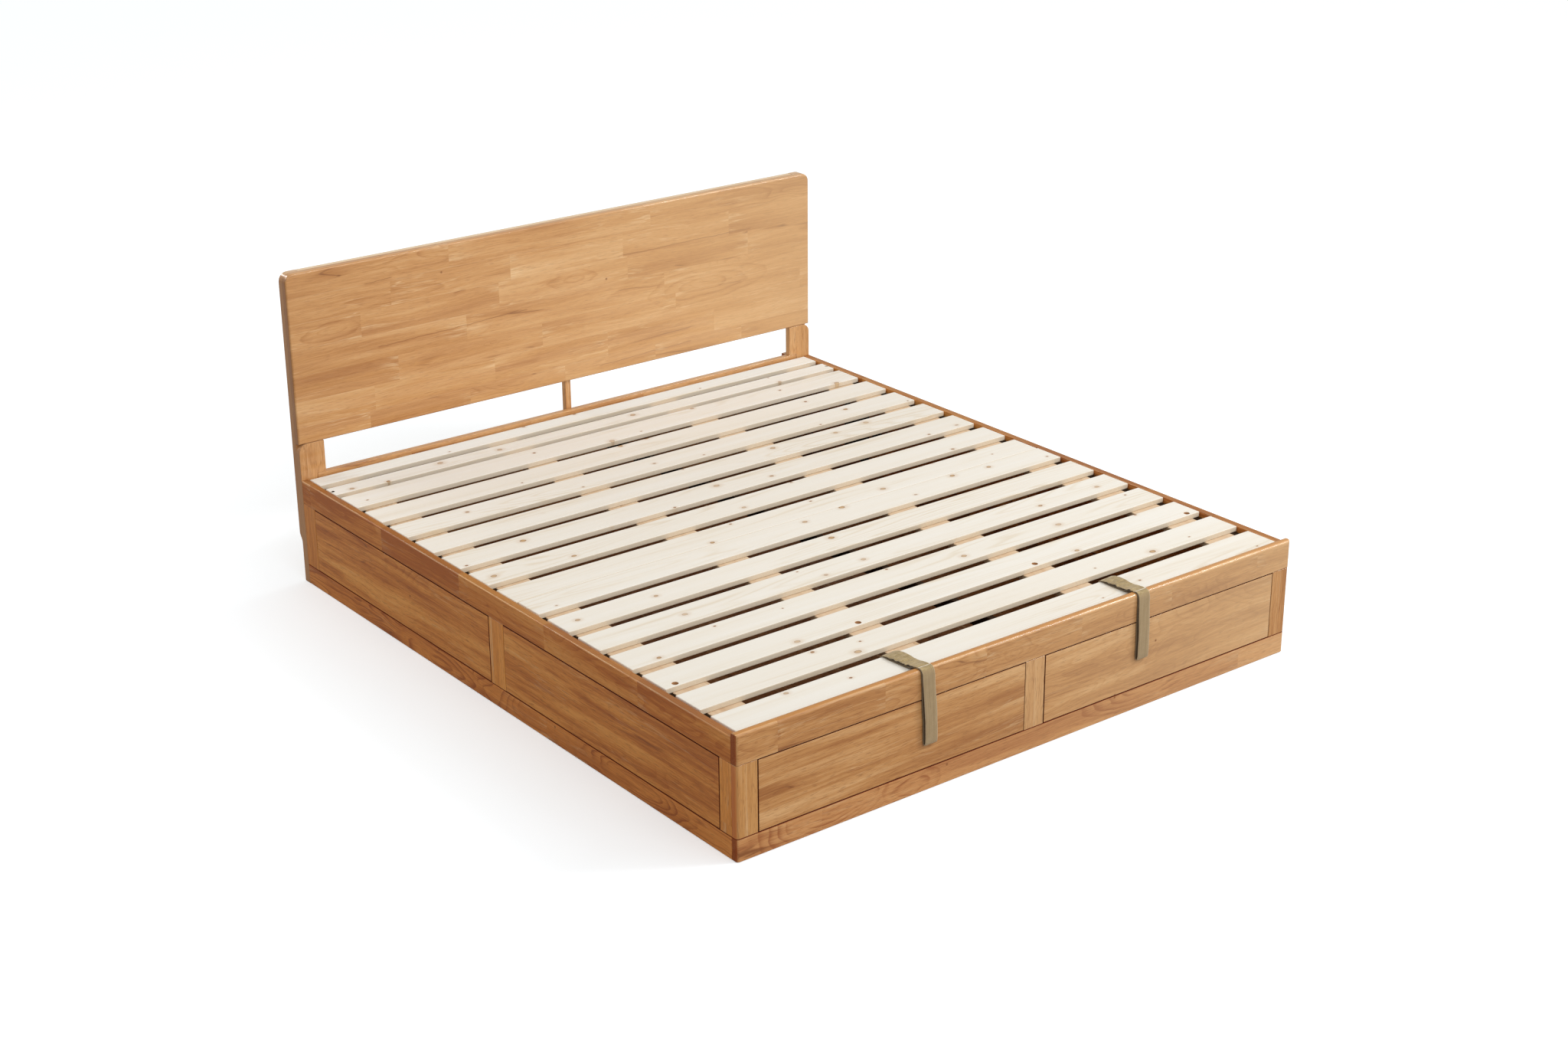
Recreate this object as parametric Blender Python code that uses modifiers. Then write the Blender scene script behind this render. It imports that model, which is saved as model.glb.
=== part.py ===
"""Storage bed frame: headboard, panelled box, slatted platform lifted by two gas struts.

Metres, +Z up. The headboard is at +Y, the foot at -Y, and the origin lies on the floor
under the middle of the whole bed.
"""

import math

import bmesh
import bpy
from mathutils import Matrix, Vector

# Overall sizes
BED_WIDTH = 1.860
BOX_LENGTH = 2.084          # from the face of the foot to the front of the headboard
HEADBOARD_HEIGHT = 0.931
BOARD = 0.020               # thickness of every solid board
FIT = 0.0003                # gap between pieces that touch
ARRIS = 0.0012              # eased edge of a plain board
OVERRUN = 0.004             # how far a cutter runs past what it cuts
OVERLAP = 0.003             # how far shapes that are joined run into each other

# Box frames
BOTTOM_RAIL_TOP = 0.060
TOP_RAIL_BOTTOM = 0.250
SIDE_TOP = 0.320
FOOT_TOP = 0.330
SIDE_END_STILE = 0.065      # from the face of the foot, or to the headboard
SIDE_MIDDLE_STILE = 0.070
SIDE_MIDDLE_FORWARD = 0.007     # from the middle of the box towards the foot
FOOT_END_STILE = 0.062
FOOT_MIDDLE_STILE = 0.065
FOOT_RAIL_PROUD = 0.001     # the foot's top rail stands out from its stiles
GROOVE = 0.0025             # shadow line round an inset panel
GROOVE_DEPTH = 0.010
FOOT_ROUND = 0.008          # upright corners of the foot and the front edge of its top rail
RAIL_BACK_ROUND = 0.006     # inner upper edge of the foot's top rail
SIDE_RAIL_ROUND = 0.003

# Headboard
PANEL_BOTTOM = 0.427
HEAD_CORNER_ROUND = 0.026
HEAD_EDGE_ROUND = 0.005
LEG_WIDTH = 0.052
LEG_EAR_WIDTH = 0.080
HEAD_RAIL_TOP = 0.331
SKIRTING_DEPTH = 0.013
SKIRTING_TOP = 0.120
SKIRTING_EASE = 0.030
HEAD_TOP_RAIL_HEIGHT = 0.060
CENTRE_STILE_WIDTH = 0.020
CENTRE_STILE_LAP = 0.070
CORNER_BLOCK_WIDTH = 0.030
CORNER_BLOCK_HEIGHT = 0.090

# Slatted platform, counted from the headboard
SLAT_SIDE_CLEARANCE = 0.004     # between the box's sides and the slats' ends
SLAT_THICKNESS = 0.015
SLAT_WIDTH = 0.0984
FIRST_SLAT_WIDTH = 0.063
SECOND_SLAT_WIDTH = 0.061
FOOT_HALF_GAP = 0.040
HEAD_HALF_GAP = 0.0406      # nearest gap that spreads whole slats over the head half
FIRST_SLAT_GAP = 0.032
SECOND_SLAT_GAP = 0.0266
FOOT_CLEARANCE = 0.0129     # between the foot and the last slat
HEAD_CLEARANCE = 0.0070     # between the head rail and the first slat
HALF_SHIFT = 0.0015         # the two halves sit this far off the middle, opposite ways
SLAT_ROUND = 0.002
BEARER_WIDTH = 0.100
BEARER_THICKNESS = 0.015
OUTER_BEARER_INSET = 0.047  # from the bed's side to the bearer's edge
INNER_BEARER_CENTRE = 0.295
BEARER_SETBACK = 0.006      # bearer ends from the outermost slat edges
SCREW_HOLE_RADIUS = 0.0085
SCREW_HOLE_SETBACK = 0.0135  # hole's middle from the slat's foot edge
SCREW_HOLE_DEPTH = 0.008
BOLT_HOLE_RADIUS = 0.006
BOLT_INSET = 0.030          # bolt holes of the second slat, from the bed's side

# Steel lift frame
TUBE_WIDTH = 0.020
TUBE_HEIGHT = 0.040
TUBE_WALL = 0.0015
TUBE_INSET = 0.026          # from the bed's side to the tube
TUBE_FOOT_GAP = 0.0025      # between the foot and the tubes' ends
TUBE_HEAD_SETBACK = 0.012
LEDGE_DEPTH = 0.026
LEDGE_HEIGHT = 0.030

# Hinges and struts, measured from the platform's hinge axis
HINGE_FROM_SLAT_END = 0.230
HINGE_HEIGHT = 0.013        # above the underside of the tubes
STRUT_TOP_FORWARD = 0.220
STRUT_TOP_DROP = 0.040
STRUT_FOOT_FORWARD = 0.080
STRUT_FOOT_DROP = 0.220
PIN_RADIUS = 0.004
HINGE_PIN_RADIUS = 0.006
PIN_CLEARANCE = 0.00025
PIN_HEAD_LIP = 0.0025
PIN_HEAD_THICKNESS = 0.003
PIVOT_PLAY = 0.0028         # room in the rod's eye for the travel of the real linkage
EYE_AHEAD = 0.00226         # the eye's centre lies past the pin's when the bed is closed
BRACKET_THICKNESS = 0.003
BRACKET_MARGIN = 0.020
BRACKET_BOLT_RADIUS = 0.006
BRACKET_BOLT_HEAD = 0.002
CHEEK_THICKNESS = 0.002
CHEEK_ROUND = 0.011
EYE_WIDTH = 0.010
LOWER_EYE_RADIUS = 0.009
UPPER_EYE_RADIUS = 0.0105
CYLINDER_RADIUS = 0.0095
CYLINDER_SETBACK = 0.033    # from the upper pin down to the cylinder's mouth
ROD_RADIUS = 0.004
ROD_CLEARANCE = 0.0003
ROD_TRAVEL = 0.130          # length of rod that the cylinder can pay out
BORE_FLOOR = 0.022          # solid end of the cylinder above its lower pin

# Storage floor
FLOOR_THICKNESS = 0.015

# Pull straps
WEB_WIDTH = 0.038
WEB_THICKNESS = 0.0014
PLY_STEP = 0.0021           # from one layer of the doubled webbing to the next
STRAP_TAIL = 0.034          # webbing fastened under the last slat
STRAP_SWELL = 0.009         # how high the upper layer arches over the slat
STRAP_HANG_OUT = 0.0105     # outer layer from the face of the foot
STRAP_LIE_OUT = 0.0030      # inner layer from the face of the foot
LEFT_STRAP_BOTTOM = 0.1275
RIGHT_STRAP_BOTTOM = 0.1445
LEFT_STRAP_X = -0.372
RIGHT_STRAP_X = 0.3645
LEFT_STRAP_DRIFT = 0.0235   # sideways travel from the slat gap to the hanging end
RIGHT_STRAP_DRIFT = 0.0075
PLY_DRIFT = 0.0015          # the layer underneath shows at the left edge
STRAP_STEPS = 4             # stations between two route points

ROUND_SIDES = 24

# Derived places
HALF_WIDTH = BED_WIDTH / 2
INNER_HALF = HALF_WIDTH - BOARD
STRAP_REACH = STRAP_HANG_OUT + WEB_THICKNESS / 2
BED_LENGTH = BOX_LENGTH + BOARD + BOARD
FOOT_Y = (STRAP_REACH - BED_LENGTH) / 2
FOOT_BACK_Y = FOOT_Y + BOARD
HEAD_Y = FOOT_Y + BOX_LENGTH
POST_Y = HEAD_Y + BOARD
REAR_Y = POST_Y + BOARD
SLAT_BOTTOM = SIDE_TOP - SLAT_THICKNESS
UNDER_SLATS = SLAT_BOTTOM - FIT
TUBE_BOTTOM = UNDER_SLATS - TUBE_HEIGHT
TUBE_X = HALF_WIDTH - TUBE_INSET - TUBE_WIDTH / 2

LEFT, RIGHT = Vector((-1, 0, 0)), Vector((1, 0, 0))
FRONT, REAR = Vector((0, -1, 0)), Vector((0, 1, 0))
UP = Vector((0, 0, 1))
AXES = {"X": RIGHT, "Y": REAR, "Z": UP}


def clear_scene():
    for obj in list(bpy.data.objects):
        bpy.data.objects.remove(obj, do_unlink=True)


def collection(name):
    made = bpy.data.collections.new(name)
    bpy.context.scene.collection.children.link(made)
    return made


def material(name, colour, roughness, metallic=0.0):
    made = bpy.data.materials.new(name)
    made.use_nodes = True
    shader = made.node_tree.nodes["Principled BSDF"]
    shader.inputs["Base Color"].default_value = (*colour, 1.0)
    shader.inputs["Roughness"].default_value = roughness
    shader.inputs["Metallic"].default_value = metallic
    return made


clear_scene()
PARTS = collection("storage_bed_frame")
CUTTERS = collection("cutters")

HONEY_WOOD = material("honey_wood", (0.60, 0.33, 0.13), 0.38)
FOOT_WOOD = material("foot_wood", (0.52, 0.27, 0.11), 0.38)
PINE = material("pale_pine", (0.86, 0.82, 0.72), 0.60)
BEARER_WOOD = material("bearer_wood", (0.74, 0.52, 0.34), 0.60)
FLOOR_WOOD = material("floor_board", (0.42, 0.26, 0.14), 0.60)
BLACK_STEEL = material("black_steel", (0.02, 0.02, 0.02), 0.45, 0.6)
BRIGHT_STEEL = material("bright_steel", (0.70, 0.70, 0.70), 0.20, 1.0)
WEBBING = material("khaki_webbing", (0.38, 0.31, 0.18), 0.85)


def finish(name, mesh, paint, location=None, parent=None, helper=False):
    """An object from a mesh, placed in world coordinates, under its parent when it has one."""
    obj = bpy.data.objects.new(name, mesh)
    obj.location = location or Vector()
    if parent:
        obj.parent = parent
        obj.location = parent.matrix_world.inverted() @ obj.location
    if helper:
        CUTTERS.objects.link(obj)
        obj.hide_render = True
        obj.display_type = "WIRE"
    else:
        mesh.materials.append(paint)
        PARTS.objects.link(obj)
    bpy.context.view_layer.update()
    return obj


def pivot(name, location, turn=0.0):
    """An empty on a joint's axis; turn tips its own Z about world X."""
    obj = bpy.data.objects.new(name, None)
    obj.location = location
    obj.rotation_euler.x = turn
    PARTS.objects.link(obj)
    bpy.context.view_layer.update()
    return obj


def rim(direction):
    """The edges round every face that looks this way."""
    def chosen(edge):
        facing = [face.normal.dot(direction) > 0.99 for face in edge.link_faces]
        return sum(facing) == 1
    return chosen


def corner(first, second):
    """The edges between a face that looks one way and a face that looks another."""
    def chosen(edge):
        normals = [face.normal for face in edge.link_faces]
        return all(any(n.dot(way) > 0.99 for n in normals) for way in (first, second))
    return chosen


def outer_edge(edge):
    """Whether an edge is a sharp outer one."""
    return edge.is_convex and edge.calc_face_angle() > math.radians(40)


def any_of(*tests):
    """The edges that any of these tests chooses."""
    return lambda edge: any(test(edge) for test in tests)


def round_edges(shape, chosen, radius, segments):
    shape.normal_update()
    edges = [edge for edge in shape.edges if len(edge.link_faces) == 2 and chosen(edge)]
    bmesh.ops.bevel(
        shape, geom=edges, offset=radius, offset_type="OFFSET", segments=segments,
        profile=0.5, affect="EDGES", clamp_overlap=True,
    )


def to_mesh(shape, name):
    mesh = bpy.data.meshes.new(name)
    bmesh.ops.recalc_face_normals(shape, faces=shape.faces)
    shape.to_mesh(mesh)
    shape.free()
    return mesh


def box_shape(size):
    shape = bmesh.new()
    bmesh.ops.create_cube(shape, size=1)
    bmesh.ops.scale(shape, vec=size, verts=shape.verts)
    return shape


def ease(obj, width=ARRIS, segments=1):
    bevel = obj.modifiers.new("eased edges", "BEVEL")
    bevel.width = width
    bevel.segments = segments
    bevel.limit_method = "ANGLE"
    bevel.angle_limit = math.radians(40)


def board(name, low, high, paint, roundings=(), parent=None, eased=ARRIS, segments=1):
    """A plain board between two corners, with its chosen edges rounded and the rest eased."""
    low, high = Vector(low), Vector(high)
    shape = box_shape(high - low)
    for chosen, radius, steps in roundings:
        round_edges(shape, chosen, radius, steps)
    obj = finish(name, to_mesh(shape, name), paint, (low + high) / 2, parent)
    ease(obj, eased, segments)
    return obj


def block(name, low, high, parent=None):
    """A box that joins or cuts another piece."""
    low, high = Vector(low), Vector(high)
    return finish(name, to_mesh(box_shape(high - low), name), None, (low + high) / 2, parent, True)


def cylinder_mesh(name, radius, length, axis):
    """A capped cylinder round its own centre, along X, Y or Z."""
    shape = bmesh.new()
    bmesh.ops.create_cone(
        shape, cap_ends=True, segments=ROUND_SIDES, radius1=radius, radius2=radius, depth=length,
        matrix=UP.rotation_difference(AXES[axis]).to_matrix().to_4x4(),
    )
    mesh = to_mesh(shape, name)
    mesh.shade_smooth()
    mesh.set_sharp_from_angle(angle=math.radians(40))
    return mesh


def rod(name, radius, start, end, axis, parent=None, paint=None):
    """A cylinder from start to end along an axis; a helper unless it has a paint.

    Under a parent the points are in the parent's own frame.
    """
    start, end = Vector(start), Vector(end)
    centre = (start + end) / 2
    if parent:
        centre = parent.matrix_world @ centre
    mesh = cylinder_mesh(name, radius, (end - start).length, axis)
    return finish(name, mesh, paint, centre, parent, paint is None)


def combine(obj, other, operation):
    boolean = obj.modifiers.new(other.name, "BOOLEAN")
    boolean.operation = operation
    boolean.solver = "EXACT"
    boolean.object = other


def join(obj, other):
    combine(obj, other, "UNION")


def cut(obj, other):
    combine(obj, other, "DIFFERENCE")


# Inset panels

def inset_panel(name, low, high, outward, paint):
    """A panel whose edge lies back from its face, so that a groove runs round it."""
    low, high = Vector(low), Vector(high)
    size = high - low
    back = Vector([side - abs(way) * GROOVE_DEPTH for side, way in zip(size, outward)])
    shape = box_shape(back)
    shape.normal_update()
    face = [f for f in shape.faces if f.normal.dot(outward) > 0.99]
    bmesh.ops.inset_region(shape, faces=face, thickness=GROOVE - FIT, use_even_offset=True)
    shape.normal_update()
    bmesh.ops.inset_region(shape, faces=face, thickness=0.0, depth=GROOVE_DEPTH)
    middle = (low + high) / 2 - outward * GROOVE_DEPTH / 2
    return finish(name, to_mesh(shape, name), paint, middle)


def side_frame(side, outward):
    """One long side of the box: rails, stiles and two inset panels."""
    outer = outward.x * HALF_WIDTH
    inner = outward.x * INNER_HALF
    x_low, x_high = min(outer, inner), max(outer, inner)
    start = FOOT_BACK_Y + FIT
    end = HEAD_Y - FIT
    middle = (FOOT_Y + HEAD_Y) / 2 - SIDE_MIDDLE_FORWARD
    foot_stile_end = FOOT_Y + SIDE_END_STILE
    head_stile_start = HEAD_Y - SIDE_END_STILE
    middle_low = middle - SIDE_MIDDLE_STILE / 2
    middle_high = middle + SIDE_MIDDLE_STILE / 2
    top_roundings = [(corner(UP, outward), SIDE_RAIL_ROUND, 2)]
    board(f"{side}_side_top_rail", (x_low, start, TOP_RAIL_BOTTOM), (x_high, end, SIDE_TOP),
          HONEY_WOOD, top_roundings)
    board(f"{side}_side_bottom_rail", (x_low, start, 0), (x_high, end, BOTTOM_RAIL_TOP), HONEY_WOOD)
    low_z = BOTTOM_RAIL_TOP + FIT
    high_z = TOP_RAIL_BOTTOM - FIT
    stiles = (
        ("foot_stile", start, foot_stile_end),
        ("middle_stile", middle_low, middle_high),
        ("head_stile", head_stile_start, end),
    )
    for name, y_low, y_high in stiles:
        board(f"{side}_side_{name}", (x_low, y_low, low_z), (x_high, y_high, high_z), HONEY_WOOD)
    panels = (
        ("foot_panel", foot_stile_end, middle_low),
        ("head_panel", middle_high, head_stile_start),
    )
    for name, y_low, y_high in panels:
        inset_panel(f"{side}_side_{name}", (x_low, y_low + FIT, low_z),
                    (x_high, y_high - FIT, high_z), outward, HONEY_WOOD)


def foot_frame():
    """The foot of the box, which covers the ends of both sides."""
    left_corner, right_corner = corner(FRONT, LEFT), corner(FRONT, RIGHT)
    corners = [(any_of(left_corner, right_corner), FOOT_ROUND, 4)]
    upper = [
        (any_of(left_corner, right_corner, corner(UP, FRONT)), FOOT_ROUND, 4),
        (corner(UP, REAR), RAIL_BACK_ROUND, 3),
    ]
    rail_y = FOOT_Y - FOOT_RAIL_PROUD
    board("foot_top_rail", (-HALF_WIDTH, rail_y, TOP_RAIL_BOTTOM), (HALF_WIDTH, FOOT_BACK_Y, FOOT_TOP),
          FOOT_WOOD, upper)
    board("foot_bottom_rail", (-HALF_WIDTH, FOOT_Y, 0), (HALF_WIDTH, FOOT_BACK_Y, BOTTOM_RAIL_TOP),
          FOOT_WOOD, corners)
    low_z = BOTTOM_RAIL_TOP + FIT
    high_z = TOP_RAIL_BOTTOM - FIT
    stile_x = HALF_WIDTH - FOOT_END_STILE
    half_middle = FOOT_MIDDLE_STILE / 2
    stiles = (
        ("left", -HALF_WIDTH, -stile_x, [(left_corner, FOOT_ROUND, 4)]),
        ("middle", -half_middle, half_middle, ()),
        ("right", stile_x, HALF_WIDTH, [(right_corner, FOOT_ROUND, 4)]),
    )
    for name, x_low, x_high, roundings in stiles:
        board(f"foot_{name}_stile", (x_low, FOOT_Y, low_z), (x_high, FOOT_BACK_Y, high_z),
              FOOT_WOOD, roundings)
    for name, x_low, x_high in (("left", -stile_x, -half_middle), ("right", half_middle, stile_x)):
        inset_panel(f"foot_{name}_panel", (x_low + FIT, FOOT_Y, low_z),
                    (x_high - FIT, FOOT_BACK_Y, high_z), FRONT, FOOT_WOOD)


# Headboard

def flat_piece(name, points, thickness, frame):
    """A flat outline with thickness, as a closed mesh; frame turns its X, Y and Z to the world's."""
    curve = bpy.data.curves.new(name, "CURVE")
    curve.dimensions = "2D"
    curve.fill_mode = "BOTH"
    curve.extrude = thickness / 2
    spline = curve.splines.new("POLY")
    spline.points.add(len(points) - 1)
    for point, (across, along) in zip(spline.points, points):
        point.co = (across, along, 0, 1)
    spline.use_cyclic_u = True
    outline = bpy.data.objects.new(name, curve)
    outline.matrix_world = frame
    CUTTERS.objects.link(outline)
    bpy.context.view_layer.update()
    graph = bpy.context.evaluated_depsgraph_get()
    mesh = bpy.data.meshes.new_from_object(outline.evaluated_get(graph))
    mesh.transform(outline.matrix_world)
    bpy.data.objects.remove(outline, do_unlink=True)
    shape = bmesh.new()
    shape.from_mesh(mesh)
    bmesh.ops.remove_doubles(shape, verts=shape.verts, dist=FIT / 10)
    bmesh.ops.recalc_face_normals(shape, faces=shape.faces)
    bpy.data.meshes.remove(mesh)
    return shape


def leg_outline():
    """Side view of a leg: thick below the headboard panel, stepped in behind above the floor."""
    recess_y = REAR_Y - SKIRTING_DEPTH
    points = [(HEAD_Y, 0), (recess_y, 0)]
    steps = 8
    for i in range(steps + 1):
        share = i / steps
        sway = (1 - math.cos(math.pi * share)) / 2
        points.append((recess_y + SKIRTING_DEPTH * sway, SKIRTING_TOP + SKIRTING_EASE * share))
    points += [
        (REAR_Y, HEADBOARD_HEIGHT),
        (POST_Y + FIT, HEADBOARD_HEIGHT),
        (POST_Y + FIT, PANEL_BOTTOM - FIT),
        (HEAD_Y, PANEL_BOTTOM - FIT),
    ]
    return points


def leg(side, outward):
    """Rear post and front board of one leg, with the ear that carries the end of the panel."""
    name = f"{side}_leg"
    centre_x = outward.x * (HALF_WIDTH - LEG_WIDTH / 2)
    upright = Matrix(((0, 0, 1, centre_x), (1, 0, 0, 0), (0, 1, 0, 0), (0, 0, 0, 1)))
    shape = flat_piece(name, leg_outline(), LEG_WIDTH, upright)
    round_edges(shape, corner(UP, outward), HEAD_CORNER_ROUND, 8)
    round_edges(shape, outer_edge, ARRIS, 1)
    obj = finish(name, to_mesh(shape, name), HONEY_WOOD)
    ear_in = outward.x * (HALF_WIDTH - LEG_WIDTH + OVERLAP)
    ear_out = outward.x * (HALF_WIDTH - LEG_EAR_WIDTH)
    ear = block(f"{name}_ear", (min(ear_in, ear_out), HEAD_Y, HEAD_RAIL_TOP + FIT),
                (max(ear_in, ear_out), POST_Y, PANEL_BOTTOM - FIT))
    join(obj, ear)


def headboard():
    top_corners = [
        (corner(UP, LEFT), HEAD_CORNER_ROUND, 8),
        (corner(UP, RIGHT), HEAD_CORNER_ROUND, 8),
        (rim(FRONT), HEAD_EDGE_ROUND, 3),
    ]
    board("headboard_panel", (-HALF_WIDTH, HEAD_Y, PANEL_BOTTOM),
          (HALF_WIDTH, POST_Y, HEADBOARD_HEIGHT), HONEY_WOOD, top_corners, eased=ARRIS / 2)
    leg("left", LEFT)
    leg("right", RIGHT)
    between = HALF_WIDTH - LEG_WIDTH - FIT
    rail_bottom = HEADBOARD_HEIGHT - HEAD_TOP_RAIL_HEIGHT
    board("headboard_top_rail", (-between, POST_Y + FIT, rail_bottom),
          (between, REAR_Y, HEADBOARD_HEIGHT), HONEY_WOOD)
    half_stile = CENTRE_STILE_WIDTH / 2
    board("headboard_centre_stile", (-half_stile, POST_Y + FIT, HEAD_RAIL_TOP - CENTRE_STILE_LAP),
          (half_stile, REAR_Y, rail_bottom - FIT), HONEY_WOOD)
    rail = board("head_rail", (-between, HEAD_Y, 0), (between, POST_Y, HEAD_RAIL_TOP), HONEY_WOOD)
    for way in (LEFT, RIGHT):
        outer = way.x * between
        inner = way.x * (between - CORNER_BLOCK_WIDTH)
        corner_block = block(f"corner_block_{way.x:+.0f}",
                             (min(outer, inner), POST_Y - OVERLAP, HEAD_RAIL_TOP - CORNER_BLOCK_HEIGHT),
                             (max(outer, inner), REAR_Y, HEAD_RAIL_TOP))
        join(rail, corner_block)


# Slatted platform

def slat_places():
    """(width, front Y, sideways shift) of each slat, from the headboard to the foot."""
    first = HEAD_Y - HEAD_CLEARANCE - FIRST_SLAT_WIDTH
    second = first - FIRST_SLAT_GAP - SECOND_SLAT_WIDTH
    head_end = second - SECOND_SLAT_GAP
    foot_end = FOOT_BACK_Y + FOOT_CLEARANCE
    foot_pitch = SLAT_WIDTH + FOOT_HALF_GAP
    foot_count = max(1, round((head_end - foot_end) / 2 / foot_pitch))
    seam = foot_end + foot_count * foot_pitch - FOOT_HALF_GAP + FIT
    head_count = max(2, round((head_end - seam + HEAD_HALF_GAP) / (SLAT_WIDTH + HEAD_HALF_GAP)))
    head_pitch = (head_end - seam - SLAT_WIDTH) / (head_count - 1)
    places = [(FIRST_SLAT_WIDTH, first, -HALF_SHIFT), (SECOND_SLAT_WIDTH, second, -HALF_SHIFT)]
    for i in reversed(range(head_count)):
        places.append((SLAT_WIDTH, seam + i * head_pitch, -HALF_SHIFT))
    for i in reversed(range(foot_count)):
        places.append((SLAT_WIDTH, foot_end + i * foot_pitch, HALF_SHIFT))
    return places


SLATS = slat_places()
SLATS_FRONT = SLATS[-1][1]
SLATS_BACK = SLATS[0][0] + SLATS[0][1]
LAST_SLAT_BACK = SLATS_FRONT + SLAT_WIDTH
HINGE_Y = SLATS_BACK - HINGE_FROM_SLAT_END
HINGE_Z = TUBE_BOTTOM + HINGE_HEIGHT
PLATFORM = pivot("platform_hinge", (0, HINGE_Y, HINGE_Z))


def slats():
    half = INNER_HALF - SLAT_SIDE_CLEARANCE
    made = []
    for number, (width, front, shift) in enumerate(SLATS, 1):
        made.append(board(
            f"slat_{number:02d}", (shift - half, front, SLAT_BOTTOM), (shift + half, front + width, SIDE_TOP),
            PINE, parent=PLATFORM, eased=SLAT_ROUND, segments=2,
        ))
    bolt_x = HALF_WIDTH - BOLT_INSET
    outer_x = HALF_WIDTH - OUTER_BEARER_INSET - BEARER_WIDTH / 7
    inner_x = INNER_BEARER_CENTRE + BEARER_WIDTH / 8
    width, front, shift = SLATS[1]
    drill(made[1], BOLT_HOLE_RADIUS, front + width / 2, (shift - bolt_x, shift + bolt_x))
    _, front, shift = SLATS[-3]
    row = (-outer_x, -inner_x, INNER_BEARER_CENTRE, outer_x)
    drill(made[-3], SCREW_HOLE_RADIUS, front + SCREW_HOLE_SETBACK, [shift + x for x in row])


def drill(slat, radius, y, across):
    """Counterbored screw holes in a row along one slat."""
    for i, x in enumerate(across):
        start = Vector((x, y, SIDE_TOP - SCREW_HOLE_DEPTH))
        end = Vector((x, y, SIDE_TOP + OVERRUN))
        middle = (start + end) / 2
        mesh = cylinder_mesh(f"{slat.name}_hole_{i}", radius, (end - start).length, "Z")
        cut(slat, finish(mesh.name, mesh, None, middle, PLATFORM, True))


def bearers():
    outer_centre = HALF_WIDTH - OUTER_BEARER_INSET - BEARER_WIDTH / 2
    centres = (
        ("left_outer_bearer", -outer_centre),
        ("left_inner_bearer", -INNER_BEARER_CENTRE),
        ("right_inner_bearer", INNER_BEARER_CENTRE),
        ("right_outer_bearer", outer_centre),
    )
    for name, x in centres:
        board(name, (x - BEARER_WIDTH / 2, SLATS_FRONT + BEARER_SETBACK, UNDER_SLATS - BEARER_THICKNESS),
              (x + BEARER_WIDTH / 2, SLATS_BACK - BEARER_SETBACK, UNDER_SLATS), BEARER_WOOD,
              parent=PLATFORM)


# Lift frame, hinges and struts

TUBE_START = FOOT_BACK_Y + TUBE_FOOT_GAP
TUBE_END = SLATS_BACK - TUBE_HEAD_SETBACK
STRUT_ACROSS = Vector((0, STRUT_FOOT_FORWARD - STRUT_TOP_FORWARD, STRUT_FOOT_DROP - STRUT_TOP_DROP))
STRUT_LENGTH = STRUT_ACROSS.length
STRUT_TURN = -math.atan2(STRUT_ACROSS.y, STRUT_ACROSS.z)


def lift_tube(name, x):
    obj = board(name, (x - TUBE_WIDTH / 2, TUBE_START, TUBE_BOTTOM),
                (x + TUBE_WIDTH / 2, TUBE_END, UNDER_SLATS), BLACK_STEEL, parent=PLATFORM,
                eased=TUBE_WALL / 2)
    inner_x = TUBE_WIDTH / 2 - TUBE_WALL
    cut(obj, block(f"{name}_bore", (x - inner_x, TUBE_START - OVERRUN, TUBE_BOTTOM + TUBE_WALL),
                   (x + inner_x, TUBE_END + OVERRUN, UNDER_SLATS - TUBE_WALL), PLATFORM))
    return obj


def strut_ears(tube, name, x):
    """Two ears under the tube with the upper strut pin between them."""
    pin_y = HINGE_Y - STRUT_TOP_FORWARD
    pin_z = HINGE_Z - STRUT_TOP_DROP
    for i, way in enumerate((LEFT, RIGHT)):
        outer = x + way.x * TUBE_WIDTH / 2
        inner = outer - way.x * CHEEK_THICKNESS
        low = Vector((min(outer, inner), pin_y - CHEEK_ROUND, pin_z - CHEEK_ROUND))
        high = Vector((max(outer, inner), pin_y + CHEEK_ROUND, TUBE_BOTTOM + OVERLAP))
        shape = box_shape(high - low)
        for end in (FRONT, REAR):
            round_edges(shape, corner(end, -UP), CHEEK_ROUND * 0.9, 4)
        ear = finish(f"{name}_ear_{i}", to_mesh(shape, f"{name}_ear_{i}"), None, (low + high) / 2,
                     PLATFORM, True)
        join(tube, ear)
    half_pin = TUBE_WIDTH / 2 - CHEEK_THICKNESS / 2
    mesh = cylinder_mesh(f"{name}_upper_pin", PIN_RADIUS, half_pin + half_pin, "X")
    join(tube, finish(mesh.name, mesh, None, Vector((x, pin_y, pin_z)), PLATFORM, True))


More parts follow.
